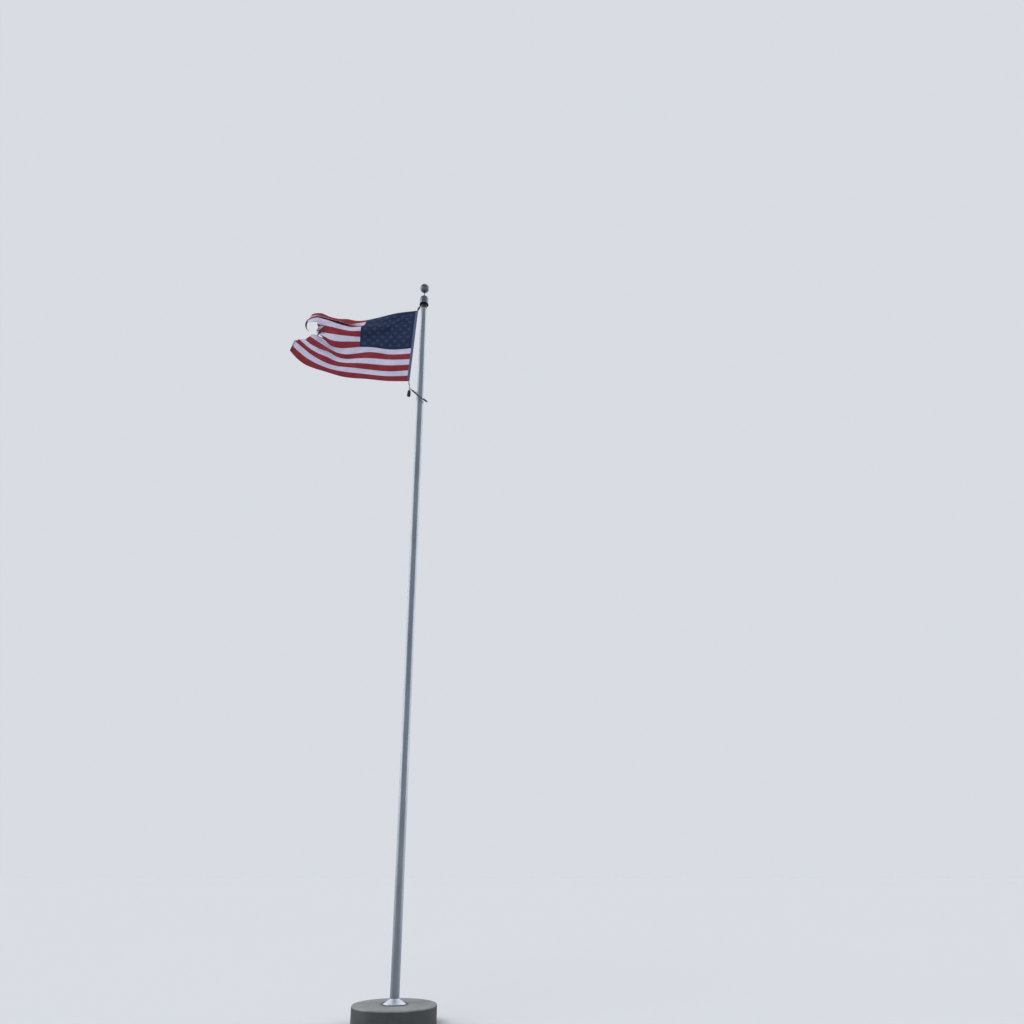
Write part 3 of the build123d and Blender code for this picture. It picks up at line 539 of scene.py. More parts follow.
# Nylon flag cloth, dyed, with its stripes sewn together: the weave is drawn coarser than it is, so
# that it shows
NYLON_WEAVE = (140, 4.0, 0.15)
red_nylon = woven("flag_nylon_red", "#762631", "#903A44", *NYLON_WEAVE, sewn=True)
white_nylon = woven("flag_nylon_white", "#B9B7D0", "#CFCDE4", *NYLON_WEAVE, sewn=True)
blue_nylon = woven("flag_nylon_blue", "#1C2740", "#2B3653", *NYLON_WEAVE)
# Fly hem, folded and stitched four times: one darker than the rest, which is painted shade, and one bleached
shaded_hem_nylon = woven("flag_nylon_hem_painted_shade", "#45303F", "#5E4657", 30, 2.5, 0.2)
pale_hem = woven("flag_nylon_hem_bleached", "#A58FA6", "#CDBFD3", 30, 2.5, 0.2)
# Single threads pulled out of the nylon: dull, greyed by both colours of the stripes
loose_thread = moulded("nylon_thread_frayed", "#8C6F80", "#B3A3BA", 8.0, (0.7, 0.85), 0.02)
# Stars embroidered in rayon thread: the stitches lie in rows; the white thread is greyed by painted shade
shaded_star_thread = woven("rayon_star_embroidery_painted_shade", "#303B56", "#3E4965", 60, 1.6, 0.12)
# Heading of white cotton canvas, greyed and blued by painted shade: coarse plain weave
canvas = woven("cotton_canvas_tape_painted_shade", "#505573", "#616685", 50, 2.5, 0.25)

FINISH = {
    "concrete": cast_concrete(),
    "packing": packing,
    "galvanised_steel": galvanised,
    "satin_aluminium": satin_aluminium,
    "spun_aluminium": spun_aluminium,
    "cast_aluminium": cast_aluminium,
    "stainless": stainless,
    "brass": brass,
    "sealant": sealant,
    "nylon": nylon_machined,
    "coated_cable": coated_cable,
    "black_vinyl": black_vinyl,
    "canvas": canvas,
    "flag_cloth": white_nylon,
}
for part in frame["record"]["subparts"]:
    nodes[part["node"]].data.materials.clear()
    nodes[part["node"]].data.materials.append(FINISH[part["material_slot"]])
nodes["flash_collar"].data.materials[0] = collar_metal()


def dress(piece, name, slot, *stands_for, material=None):
    """Names a new piece, gives it finish and body, and hides the nodes that it stands for."""
    piece.name = name
    piece.data.name = name
    piece.data.materials.clear()
    piece.data.materials.append(material or FINISH[slot])
    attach(piece, "flag_set")
    if stands_for:
        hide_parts(*stands_for)
    return piece


# Flag

# Lines along the fly, each by its row of stripes: at each distance from the hoist, the place
# (x, z) where the camera sees it against the pole's own plane, and its depth behind that plane
FLY_KNOTS = [0.0, 0.3, 0.6, 0.73, 0.9, 1.05, 1.2, 1.35, 1.5, 1.66, 1.83]
CLOTH_LINES = {
    0: [
        (-0.080, 9.195, 0.00), (-0.385, 9.150, 0.08), (-0.675, 9.065, 0.17), (-0.810, 9.030, 0.19),
        (-0.950, 9.020, 0.15), (-1.080, 9.048, 0.09), (-1.205, 9.054, 0.05), (-1.335, 9.090, 0.03),
        (-1.457, 9.148, 0.03), (-1.575, 9.140, 0.06), (-1.680, 9.060, 0.10),
    ],
    1: [
        (-0.086, 9.104, 0.00), (-0.385, 9.060, 0.06), (-0.680, 9.027, 0.12), (-0.810, 9.000, 0.14),
        (-0.945, 8.975, 0.09), (-1.057, 8.965, 0.03), (-1.186, 9.013, -0.02), (-1.313, 9.047, -0.02),
        (-1.432, 9.089, -0.01), (-1.560, 9.110, 0.00), (-1.680, 9.040, 0.06),
    ],
    2: [
        (-0.092, 9.013, 0.00), (-0.397, 8.990, 0.05), (-0.705, 8.975, 0.09), (-0.840, 8.943, 0.10),
        (-0.984, 8.940, 0.09), (-1.109, 8.974, 0.06), (-1.236, 9.019, 0.04), (-1.362, 9.056, 0.03),
        (-1.485, 9.096, 0.03), (-1.605, 9.072, 0.03), (-1.700, 8.990, 0.06),
    ],
    3: [
        (-0.098, 8.922, 0.00), (-0.410, 8.916, 0.04), (-0.731, 8.923, 0.04), (-0.874, 8.921, 0.03),
        (-1.020, 8.911, 0.03), (-1.149, 8.948, 0.01), (-1.275, 8.999, 0.00), (-1.399, 9.043, 0.00),
        (-1.525, 9.075, 0.00), (-1.640, 9.030, 0.02), (-1.730, 8.960, 0.04),
    ],
    5: [
        (-0.109, 8.741, 0.00), (-0.420, 8.732, 0.03), (-0.738, 8.744, 0.02), (-0.880, 8.748, 0.01),
        (-1.030, 8.762, -0.01), (-1.164, 8.778, -0.03), (-1.298, 8.801, -0.05), (-1.424, 8.826, -0.04),
        (-1.540, 8.855, -0.06), (-1.650, 8.890, -0.08), (-1.760, 8.920, -0.10),
    ],
    7: [
        (-0.121, 8.559, 0.00), (-0.429, 8.534, 0.02), (-0.740, 8.575, 0.01), (-0.879, 8.577, 0.00),
        (-1.025, 8.563, -0.03), (-1.156, 8.560, -0.07), (-1.284, 8.600, -0.13), (-1.395, 8.705, -0.17),
        (-1.521, 8.776, -0.19), (-1.640, 8.840, -0.20), (-1.760, 8.900, -0.22),
    ],
    8: [
        (-0.127, 8.468, 0.00), (-0.439, 8.452, 0.01), (-0.753, 8.491, -0.01), (-0.887, 8.474, -0.02),
        (-1.035, 8.454, -0.06), (-1.169, 8.474, -0.09), (-1.298, 8.543, -0.12), (-1.420, 8.629, -0.15),
        (-1.537, 8.714, -0.18), (-1.650, 8.800, -0.20), (-1.760, 8.880, -0.22),
    ],
    9: [
        (-0.133, 8.377, 0.00), (-0.446, 8.368, 0.00), (-0.763, 8.394, -0.02), (-0.897, 8.390, -0.03),
        (-1.049, 8.379, -0.06), (-1.183, 8.412, -0.10), (-1.310, 8.494, -0.15), (-1.445, 8.552, -0.19),
        (-1.567, 8.623, -0.21), (-1.680, 8.725, -0.22), (-1.780, 8.820, -0.24),
    ],
    11: [
        (-0.145, 8.195, 0.00), (-0.458, 8.177, -0.03), (-0.778, 8.212, -0.06), (-0.913, 8.232, -0.10),
        (-1.072, 8.248, -0.14), (-1.208, 8.269, -0.17), (-1.341, 8.320, -0.20), (-1.467, 8.394, -0.23),
        (-1.585, 8.482, -0.25), (-1.699, 8.585, -0.27), (-1.810, 8.688, -0.27),
    ],
    13: [
        (-0.156, 8.014, 0.00), (-0.472, 8.019, -0.06), (-0.794, 8.055, -0.11), (-0.931, 8.064, -0.14),
        (-1.090, 8.089, -0.17), (-1.225, 8.131, -0.20), (-1.359, 8.179, -0.22), (-1.494, 8.226, -0.25),
        (-1.624, 8.287, -0.27), (-1.749, 8.390, -0.30), (-1.858, 8.520, -0.33),
    ],
}
# The tear at the fly: how much of the fly is left at each row of stripes
TEAR = [
    (0.0, 1.69), (1.0, 1.72), (1.6, 1.70), (2.6, 1.68), (3.0, 1.67), (3.5, 1.64), (3.68, 1.60), (3.72, 1.48),
    (4.0, 1.455), (4.4, 1.43), (4.7, 1.42), (4.9, 1.44), (5.5, 1.45), (5.8, 1.43), (6.2, 1.40), (6.8, 1.36),
    (6.9, 1.52), (7.4, 1.56), (8.0, 1.58), (8.5, 1.60), (9.0, 1.63), (9.5, 1.69), (10.0, 1.74), (10.7, 1.79),
    (11.0, FLY), (13.0, FLY),
]
TEAR_ROWS, TEAR_FLY = np.array(TEAR).T
# The tear's ragged edge: its depth, and how closely it changes down the rows
RAGGED_DEPTH = 0.022
RAGGED_CHANGES = 5.0

camera_at = np.array([CAMERA_X, -CAMERA_BACK, CAMERA_HEIGHT])
lines_at_knots = np.array([CLOTH_LINES[line] for line in CLOTH_LINES])


def seen_from_camera(places):
    """Places (x, z) seen against the pole's plane, with depth, as points in space."""
    flat = np.stack([places[:, 0], np.zeros(len(places)), places[:, 1]], axis=1)
    return camera_at + (flat - camera_at) * ((CAMERA_BACK + places[:, 2]) / CAMERA_BACK)[:, None]


def cloth_places(fly, rows):
    """Places of the cloth at distances along the fly and rows of stripes, arrays of one length."""
    along = np.stack([smooth_between(FLY_KNOTS, line[:, None], fly) for line in lines_at_knots])
    seen = smooth_between(list(CLOTH_LINES), along, rows)
    bow = BOW_DEPTH * np.sin(math.pi * rows / STRIPES) * np.clip(1 - fly / BOW_LENGTH, 0, 1) ** 2
    from_ridge = rows - RIDGE_ROW - RIDGE_DROP * (RIDGE_END - fly)
    rising = np.clip((fly - RIDGE_START) / RIDGE_RISES_OVER, 0, 1)
    ending = np.clip((RIDGE_END - fly) / RIDGE_FADES_OVER, 0, 1)
    ridge = np.exp(-((from_ridge / RIDGE_HALF_WIDTH) ** 2)) * rising * ending
    drop = rows * STRIPE_WIDTH + FAN_CENTRE_OFF
    fading = np.clip(fly / FAN_FULL_AT, 0, 1) * np.exp(-np.hypot(drop, fly) / FAN_REACH)
    fan = np.sin(FAN_FOLDS * np.arctan2(drop, fly + FAN_CENTRE_OFF)) * fading
    depth = seen[:, 2] - bow - RIDGE_DEPTH * ridge + FAN_DEPTH * fan
    for index in range(len(fly)):
        for height, out_fly, down_rows, full_at, layer in WAVES:
            spot = Vector((fly[index] * out_fly, rows[index] * down_rows, layer))
            depth[index] += height * min(1.0, fly[index] / full_at) * noise.noise(spot)
    return seen_from_camera(np.stack([seen[:, 0], seen[:, 1], depth], axis=1))


def map_cloth(piece, fly, drop):
    """Gives a mesh its cloth map: the place of each point on the flat flag, in metres."""
    mesh = piece.data
    while mesh.uv_layers:
        mesh.uv_layers.remove(mesh.uv_layers[0])
    uv = mesh.uv_layers.new(name="cloth")
    corner = np.zeros(len(mesh.loops), int)
    mesh.loops.foreach_get("vertex_index", corner)
    uv.data.foreach_set("uv", np.stack([fly[corner], drop[corner]], axis=1).astype(np.float32).ravel())


def cloth_grid(fly, rows, columns, lines):
    """Grid of cloth, laid along the flag's lines and mapped by its flat cut."""
    deselect()
    bpy.ops.mesh.primitive_grid_add(x_subdivisions=columns, y_subdivisions=lines, size=1)
    piece = bpy.context.active_object
    lay(piece, cloth_places(fly, rows))
    map_cloth(piece, fly, rows * STRIPE_WIDTH)
    return piece


def fly_left(rows):
    """Length of fly that the tear leaves at a row, with a ragged edge."""
    left = np.interp(rows, TEAR_ROWS, TEAR_FLY)
    ragged = np.array([noise.noise(Vector((row * RAGGED_CHANGES, 1.0, 0.0))) for row in rows])
    return left + RAGGED_DEPTH * ragged * (left < FLY - 0.01)


# The cloth's grid: columns over the canton, over what is whole beyond it, and over what is torn
CANTON_COLUMNS, WHOLE_COLUMNS, TORN_COLUMNS = 56, 30, 50
WHOLE_LENGTH = 1.15
LINES_PER_STRIPE = 9
cloth_lines = STRIPES * LINES_PER_STRIPE
cloth_columns = CANTON_COLUMNS + WHOLE_COLUMNS + TORN_COLUMNS
line_rows = np.linspace(STRIPES, 0, cloth_lines + 1)
canton_fly = np.linspace(HEADING_WIDTH - HEADING_OVERLAP, CANTON_LENGTH, CANTON_COLUMNS + 1)
beyond_fly = np.linspace(CANTON_LENGTH, WHOLE_LENGTH, WHOLE_COLUMNS + 1)[1:]
torn_share = np.linspace(0, 1, TORN_COLUMNS + 1)[1:]
cloth_fly = np.concatenate(
    [
        np.concatenate([canton_fly, beyond_fly, WHOLE_LENGTH + torn_share * (left - WHOLE_LENGTH)])
        for left in fly_left(line_rows)
    ]
)
cloth_rows = np.repeat(line_rows, cloth_columns + 1)
cloth = cloth_grid(cloth_fly, cloth_rows, cloth_columns, cloth_lines)
dress(cloth, "flag_cloth", "flag_cloth", "flag")
RED_AT, BLUE_AT = 1, 2
cloth.data.materials.append(red_nylon)
cloth.data.materials.append(blue_nylon)
for face in cloth.data.polygons:
    middle = sum(cloth_rows[v] for v in face.vertices) / 4
    if middle < CANTON_STRIPES and max(cloth_fly[v] for v in face.vertices) < CANTON_LENGTH + 0.001:
        face.material_index = BLUE_AT
    elif int(middle) % 2 == 0:
        face.material_index = RED_AT
apply_modifier(cloth, "SOLIDIFY", thickness=CLOTH_THICKNESS, offset=0.0)
smooth(cloth, 60)

# Embroidered stars: one is drawn and cut finer, then laid on the cloth fifty times on each side
STAR_ROWS = 9
STAR_THICKNESS = 0.0006
STAR_RAISED = CLOTH_THICKNESS / 2 + 0.0005
# Inner corners of a five-pointed star, as a share of the radius of its points
INNER_SHARE = math.cos(math.radians(72)) / math.cos(math.radians(36))
# Distance on the cloth over which its slope under a star is read
SLOPE_STEP = 0.002
deselect()
bpy.ops.mesh.primitive_circle_add(vertices=10, radius=STAR_RADIUS, fill_type="TRIFAN")
star = bpy.context.active_object
open_mesh(star)
bpy.ops.mesh.select_all(action="DESELECT")
bpy.ops.object.mode_set(mode="OBJECT")
for index, vertex in enumerate(v for v in star.data.vertices if v.co.length > STAR_RADIUS / 2):
    vertex.select = index % 2 == 1
bpy.ops.object.mode_set(mode="EDIT")
bpy.ops.transform.resize(value=(INNER_SHARE, INNER_SHARE, 1), center_override=(0, 0, 0))
bpy.ops.mesh.select_all(action="SELECT")
bpy.ops.mesh.subdivide(number_cuts=2)
bpy.ops.object.mode_set(mode="OBJECT")
# The circle starts on +Y, which is up on the flag
star_flat = points_of(star)
star_copies = []
for row in range(STAR_ROWS):
    # Six stars and five in turn, set on twelve half steps across the canton
    for column in range(6 - row % 2):
        share = (2 * column + 1 + row % 2) / 12
        fly = HEADING_WIDTH + share * (CANTON_LENGTH - HEADING_WIDTH) + star_flat[:, 0]
        drop = (row + 1) * CANTON_STRIPES * STRIPE_WIDTH / (STAR_ROWS + 1) - star_flat[:, 1]
        here = cloth_places(fly, drop / STRIPE_WIDTH)
        ahead = cloth_places(fly + SLOPE_STEP, drop / STRIPE_WIDTH) - here
        below = cloth_places(fly, (drop + SLOPE_STEP) / STRIPE_WIDTH) - here
        out = np.cross(ahead, below)
        out /= np.linalg.norm(out, axis=1)[:, None]
        for side in (-1, 1):
            copy = copy_of(star)
            lay(copy, here + side * STAR_RAISED * out)
            map_cloth(copy, fly, drop)
            star_copies.append(copy)
bpy.data.objects.remove(star)
stars = join(*star_copies)
apply_modifier(stars, "SOLIDIFY", thickness=STAR_THICKNESS, offset=0.0)
smooth(stars, 40)
# The stars' colour is white thread with painted shade
dress(stars, "embroidered_stars", "flag_cloth", material=shaded_star_thread)

# Strips of hem torn loose: their courses, by place (x, z) where the camera sees them against the
# pole's own plane and depth, with width, turn at top and foot, and material. One hangs from the
# upper lobe, one is rolled up at the inner end of the tear, both dark with painted shade, and a pale
# one lies over that
STRIP_LINES = 36
STRIP_COLUMNS = 4
STRIP_THICKNESS = 0.0016
STRIP_CURL = 0.25
STRIP_TWIST = 0.25
STRIP_TAPER = 0.6
LOOSE_STRIPS = {
    "torn_hem_ribbon": (
        [
            (-1.632, 9.050, 0.03), (-1.652, 9.010, 0.03), (-1.664, 8.965, 0.02), (-1.662, 8.920, 0.01),
            (-1.645, 8.880, 0.02), (-1.616, 8.846, 0.02),
        ],
        0.026,
        (0.2, 1.2),
        shaded_hem_nylon,
    ),
    "rolled_hem_end": (
        [(-1.436, 8.880, -0.07), (-1.446, 8.846, -0.09), (-1.466, 8.812, -0.10), (-1.484, 8.775, -0.09)],
        0.042,
        (0.1, 1.6),
        shaded_hem_nylon,
    ),
    "pale_hem_flap": (
        [(-1.432, 8.938, -0.05), (-1.458, 8.908, -0.06), (-1.478, 8.880, -0.06), (-1.500, 8.850, -0.05)],
        0.050,
        (0.0, 0.9),
        pale_hem,
    ),
}


def loose_strip(name, course, width, turn, material):
    """Narrow strip of cloth along a course, turned more and more and narrower at its foot."""
    deselect()
    bpy.ops.mesh.primitive_grid_add(x_subdivisions=STRIP_COLUMNS, y_subdivisions=STRIP_LINES, size=1)
    strip = bpy.context.active_object
    down = np.repeat(np.linspace(0, 1, STRIP_LINES + 1), STRIP_COLUMNS + 1)
    over = np.tile(np.linspace(-0.5, 0.5, STRIP_COLUMNS + 1), STRIP_LINES + 1)
    course = np.array(course)
    middle = seen_from_camera(smooth_between(np.linspace(0, 1, len(course)), course[:, None], down))
    angle = turn[0] + (turn[1] - turn[0]) * down
    curl = STRIP_CURL * width * (4 * over**2 - 1)
    across = np.stack([np.cos(angle), np.sin(angle), STRIP_TWIST * np.sin(3 * angle)], axis=1)
    out = np.stack([np.sin(angle), -np.cos(angle), np.zeros(len(down))], axis=1)
    reach = over * width * (1 - STRIP_TAPER * down**3)
    lay(strip, middle + across * reach[:, None] + out * curl[:, None])
    # The grid's own map stays, so the weave is drawn finer on a strip than on the flag
    strip.data.uv_layers[0].name = "cloth"
    apply_modifier(strip, "SOLIDIFY", thickness=STRIP_THICKNESS, offset=0.0)
    smooth(strip, 60)
    return dress(strip, name, "flag_cloth", material=material)


strips = [loose_strip(name, *details) for name, details in LOOSE_STRIPS.items()]

# Frayed threads: one is drawn, then copied along the tear, bent and drooping by chance
THREAD_RADIUS = 0.0004
THREAD_COUNT = 110
THREAD_LENGTHS = (0.008, 0.038)
THREAD_DROOPS = (0.1, 0.7)
LAST_TORN_ROW = 10.9
UP = np.array([0.0, 0.0, 1.0])
chance = random.Random(7)
thread = turned([(1.0, 0.0), (1.0, 0.25), (1.0, 0.5), (0.8, 0.75), (0.4, 1.0)], 5)
thread_flat = points_of(thread)
threads = []
for number in range(THREAD_COUNT):
    row = np.array([chance.uniform(0.0, LAST_TORN_ROW)])
    left = fly_left(row)
    start = cloth_places(left - 0.003, row)[0]
    away = cloth_places(left, row)[0] - cloth_places(left - 0.01, row)[0]
    away /= np.linalg.norm(away)
    away += np.array([chance.uniform(-0.3, 0.3), chance.uniform(-0.4, 0.4), chance.uniform(-0.6, 0.3)])
    length = chance.uniform(*THREAD_LENGTHS)
    droop = chance.uniform(*THREAD_DROOPS) * length
    sideways = np.cross(away, (0.0, 0.3, 1.0))
    sideways /= np.linalg.norm(sideways)
    above = np.cross(sideways, away)
    above /= np.linalg.norm(above)
    round_x, round_y, run = thread_flat[:, 0:1], thread_flat[:, 1:2], thread_flat[:, 2:3]
    bent = start + run * length * away - UP * droop * run**2
    copy = copy_of(thread)
    lay(copy, bent + THREAD_RADIUS * (round_x * sideways + round_y * above))
    threads.append(copy)
bpy.data.objects.remove(thread)
fray = join(*threads)
open_mesh(fray)
close_mesh()
dress(fray, "frayed_threads", "flag_cloth", material=loose_thread)

# Heading: canvas tape over the hoist edge, with holes for the grommets
TAPE_LINES, TAPE_COLUMNS = 60, 4
tape_rows = np.repeat(np.linspace(STRIPES, 0, TAPE_LINES + 1), TAPE_COLUMNS + 1)
tape_fly = np.tile(np.linspace(0, HEADING_WIDTH, TAPE_COLUMNS + 1), TAPE_LINES + 1)
tape = cloth_grid(tape_fly, tape_rows, TAPE_COLUMNS, TAPE_LINES)
apply_modifier(tape, "SOLIDIFY", thickness=HEADING_THICKNESS, offset=0.0)
down_hoist = Vector((-math.sin(HOIST_LEAN), 0, -math.cos(HOIST_LEAN)))
into_flag = Vector((-math.cos(HOIST_LEAN), 0, math.sin(HOIST_LEAN)))
lower_corner = HOIST_CORNER + down_hoist * HEADING_LENGTH
upper_grommet = HOIST_CORNER + down_hoist * GROMMET_DROP + into_flag * GROMMET_INSET
lower_grommet = lower_corner - down_hoist * GROMMET_DROP + into_flag * GROMMET_INSET
for grommet in (upper_grommet, lower_grommet):
    deselect()
    bpy.ops.mesh.primitive_cylinder_add(
        vertices=24, radius=GROMMET_HOLE, depth=0.1, location=grommet, rotation=(math.radians(90), 0, 0)
    )
    punch = bpy.context.active_object
    apply_modifier(tape, "BOOLEAN", object=punch, operation="DIFFERENCE", solver="EXACT")
    bpy.data.objects.remove(punch)
smooth(tape, 40)
dress(tape, "heading_tape", "canvas", "flag_heading")

# Halyard end and snaps

# Radii of the swivels' eyes and of the snaps' hooks, to the middle of the wire, and of their wires
EYE_RING, EYE_WIRE = 0.008, 0.002
HOOK_RING, HOOK_WIRE = 0.013, 0.0025
BOLT_WIRE = 0.0016
EYE_DROP = Vector((0, 0, EYE_RING))
FRONT = Vector((0, -1, 0))

# Pressed ferrule with two crimps, and the eye that it closes
ferrule = turned(
    [
        (0.0026, 0.0), (0.0032, 0.001), (0.0032, 0.004), (0.0028, 0.0048), (0.0032, 0.0056), (0.0032, 0.0084),
        (0.0028, 0.0092), (0.0032, 0.010), (0.0032, 0.013), (0.0026, 0.014),
    ],
    20,
)
stand(ferrule, HALYARD_EYE + Vector((0, 0, 0.009)), (0, 0, 1), FRONT)
eye = bent_wire(
    EYE_WIRE, HALYARD_EYE + EYE_DROP, (0, 1, 0), [(HALYARD_EYE, (-1, 0, 0), 360.0)], closed=True
)
dress(join(ferrule, eye), "halyard_end", "coated_cable", "halyard_eye")


def swivel_eye(name, at, up, ring_front, shank, node):
    """Swivel of a snap: a round eye, and the shank that turns in the snap's body below it."""
    ring = bent_wire(EYE_WIRE, (0, 0, EYE_RING), (1, 0, 0), [((0, 0, 0), (0, 1, 0), 360.0)], closed=True)
    stem = turned(
        [
            (0.0024, -EYE_RING - shank), (0.0024, -EYE_RING - 0.003), (0.0036, -EYE_RING - 0.002),
            (0.003, -EYE_RING),
        ],
        16,
    )
    swivel = stand(join(ring, stem), at, up, ring_front)
    return dress(swivel, name, "stainless", node)


def snap_hook(name, at, up, ring_front, shank, node):
    """Hook of a snap: bent from rod, its mouth closed by a sliding bolt."""
    hook = bent_wire(HOOK_WIRE, (0, 0, HOOK_RING), (1, 0, 0), [((0, 0, 0), (0, 1, 0), 318.0)])
    neck = turned([(0.0032, HOOK_RING - 0.001), (0.0042, HOOK_RING + 0.003), (0.0042, HOOK_RING + shank)], 18)
    bolt = bent_wire(BOLT_WIRE, (-0.0087, 0, HOOK_RING + shank * 0.5), (0, 0, -1), [shank * 0.5 + 0.005])
    snap = stand(join(hook, neck, bolt), at, up, ring_front)
    return dress(snap, name, "stainless", node)


# Distances: from a grommet's middle to its hook's; how far the upper swivel's eye reaches up through
# the halyard's; and of the cover's and the lower body's ends from the middles of hook and swivel
GROMMET_TO_HOOK = 0.015
SWIVEL_RISE = 0.0043
COVER_FROM_HOOK, COVER_FROM_SWIVEL = 0.0185, 0.013
BODY_FROM_HOOK, BODY_FROM_SWIVEL = 0.0175, 0.012
# Where the lower snap and the weight bear on the quick link, above and below its middle
LINK_SEAT = Vector((0, 0, 0.0147))

up_snap = (HALYARD_EYE - EYE_DROP - upper_grommet).normalized()
snap_eye = HALYARD_EYE - EYE_DROP + up_snap * (SWIVEL_RISE - EYE_RING)
upper_hook = upper_grommet + up_snap * GROMMET_TO_HOOK
across_snap = Vector((up_snap.z, 0, -up_snap.x))
swivel_eye("upper_swivel", snap_eye, up_snap, FRONT, 0.006, "snap_swivel")
snap_hook("upper_snap", upper_hook, up_snap, across_snap, 0.010, "snap_hook")
# Vinyl cover over the snap: lips at both ends and three shallow folds
cover_length = (snap_eye - upper_hook).length - COVER_FROM_HOOK - COVER_FROM_SWIVEL
cover = turned(
    [
        (0.0095, 0.0), (0.0120, 0.001), (0.0125, 0.004), (0.0114, 0.006), (0.0124, 0.012), (0.0130, 0.018),
        (0.0122, 0.022), (0.0130, 0.026), (0.0122, 0.030), (0.0130, 0.034), (0.0122, 0.040),
        (0.0108, cover_length - 0.006), (0.0116, cover_length - 0.004), (0.0112, cover_length - 0.001),
        (0.0080, cover_length),
    ],
    32,
)
stand(cover, upper_hook + up_snap * COVER_FROM_HOOK, up_snap, FRONT)
dress(cover, "snap_boot", "black_vinyl", "snap_cover")

lower_seat = QUICK_LINK + LINK_SEAT
down_snap = (lower_seat - lower_grommet).normalized()
lower_hook = lower_grommet + down_snap * GROMMET_TO_HOOK
lower_eye = lower_seat - down_snap * EYE_RING
across_lower = Vector((down_snap.z, 0, -down_snap.x))
swivel_eye("lower_swivel", lower_eye, down_snap, across_lower, 0.005, "lower_snap_swivel")
snap_hook("lower_snap", lower_hook, down_snap, across_lower, 0.009, "lower_snap_hook")

# Body of the lower snap: bright metal, narrowed to both ends
body_foot = lower_hook + down_snap * BODY_FROM_HOOK
body_length = (lower_eye - body_foot).dot(down_snap) - BODY_FROM_SWIVEL
lower_body = turned(
    [
        (0.0040, 0.0), (0.0052, 0.0008), (0.0062, body_length * 0.2), (0.0068, body_length * 0.5),
        (0.0062, body_length * 0.8), (0.0052, body_length - 0.0008), (0.0040, body_length),
    ],
    24,
)
stand(lower_body, body_foot, down_snap, FRONT)
dress(lower_body, "lower_snap_barrel", "stainless", "lower_snap_body")

# Quick link: rod bent to a long ring, open at one side where its nut grips both ends
LINK_HALF, LINK_SIDE, LINK_WIRE = 0.012, 0.0075, 0.0025
NUT_HALF, NUT_EDGE, NUT_GRIP = 0.007, 0.0006, 0.002
link_end = LINK_HALF - NUT_HALF + NUT_GRIP
link_ring = bent_wire(
    LINK_WIRE,
    (LINK_SIDE, 0, NUT_HALF - NUT_GRIP),
    (0, 0, 1),
    [
        link_end,
        ((0, 0, LINK_HALF), (0, -1, 0), 180.0),
        2 * LINK_HALF,
        ((0, 0, -LINK_HALF), (0, -1, 0), 180.0),
        link_end,
    ],
)
link_nut = turned(
    [
        (0.0040, -NUT_HALF), (0.0046, NUT_EDGE - NUT_HALF), (0.0046, NUT_HALF - NUT_EDGE), (0.0040, NUT_HALF),
    ],
    6,
)
stand(link_nut, (LINK_SIDE, 0, 0), (0, 0, 1), FRONT)
link = stand(join(link_ring, link_nut), QUICK_LINK, (0, 0, 1), (0, 1, 0))
dress(link, "link_with_nut", "stainless", "quick_link")

# Counterweight

WEIGHT_LEAN = math.radians(4)
WEIGHT_HANG = 0.109
weight_down = Vector((-math.sin(WEIGHT_LEAN), 0, -math.cos(WEIGHT_LEAN)))
weight_up = -1 * weight_down
weight_eye = QUICK_LINK - LINK_SEAT + weight_down * EYE_RING
across_weight = Vector((weight_down.z, 0, -weight_down.x))
swivel_eye("weight_eye_and_stud", weight_eye, weight_up, across_weight, 0.003, "weight_eye")
# Steel bulb dipped in vinyl, fuller below than above, with the drip rim that dipping leaves
weight = turned(
    [
        (0.006, 0.0), (0.015, 0.001), (0.0205, 0.004), (0.0238, 0.009), (0.025, 0.016), (0.025, 0.028),
        (0.0246, 0.042), (0.0236, 0.056), (0.0222, 0.070), (0.0204, 0.082), (0.018, 0.089), (0.014, 0.094),
        (0.0085, 0.0965), (0.008, 0.098), (0.005, 0.098),
    ],
    40,
)
stand(weight, weight_eye + weight_down * WEIGHT_HANG, weight_up, FRONT)
dress(weight, "dipped_weight", "black_vinyl", "counterweight")

# Retainer loop

# The loop's plane: how much it rises in a metre along X and along Y
LOOP_RISE_X, LOOP_RISE_Y = -0.895, 0.674
# X of its far end, the radii of its wide and its narrow bend and of its cable, and its gap to the link
LOOP_FAR_X, LOOP_WIDE, LOOP_NARROW = 0.088, 0.095, 0.012
LOOP_CABLE, LOOP_GAP = 0.002, 0.0006
ROLLER_LENGTH, ROLLER_PITCH, ROLLER_FREE_END = 0.022, 0.028, 0.034
loop_start_x = QUICK_LINK.x + LINK_SIDE - LINK_WIRE - LOOP_GAP - LOOP_CABLE
loop_origin = Vector((0, 0, QUICK_LINK.z - LOOP_RISE_X * loop_start_x))
loop_along = Vector((1, 0, LOOP_RISE_X)).normalized()
loop_up = Vector((-LOOP_RISE_X, -LOOP_RISE_Y, 1)).normalized()
loop_across = loop_up.cross(loop_along)
narrow_centre = Vector((loop_start_x / loop_along.x + LOOP_NARROW, 0, 0))
wide_centre = Vector((LOOP_FAR_X / loop_along.x - LOOP_WIDE, 0, 0))
between_centres = wide_centre.x - narrow_centre.x
spread = math.asin((LOOP_WIDE - LOOP_NARROW) / between_centres)
side_length = between_centres * math.cos(spread)
arc_length = LOOP_WIDE * (math.pi + 2 * spread)


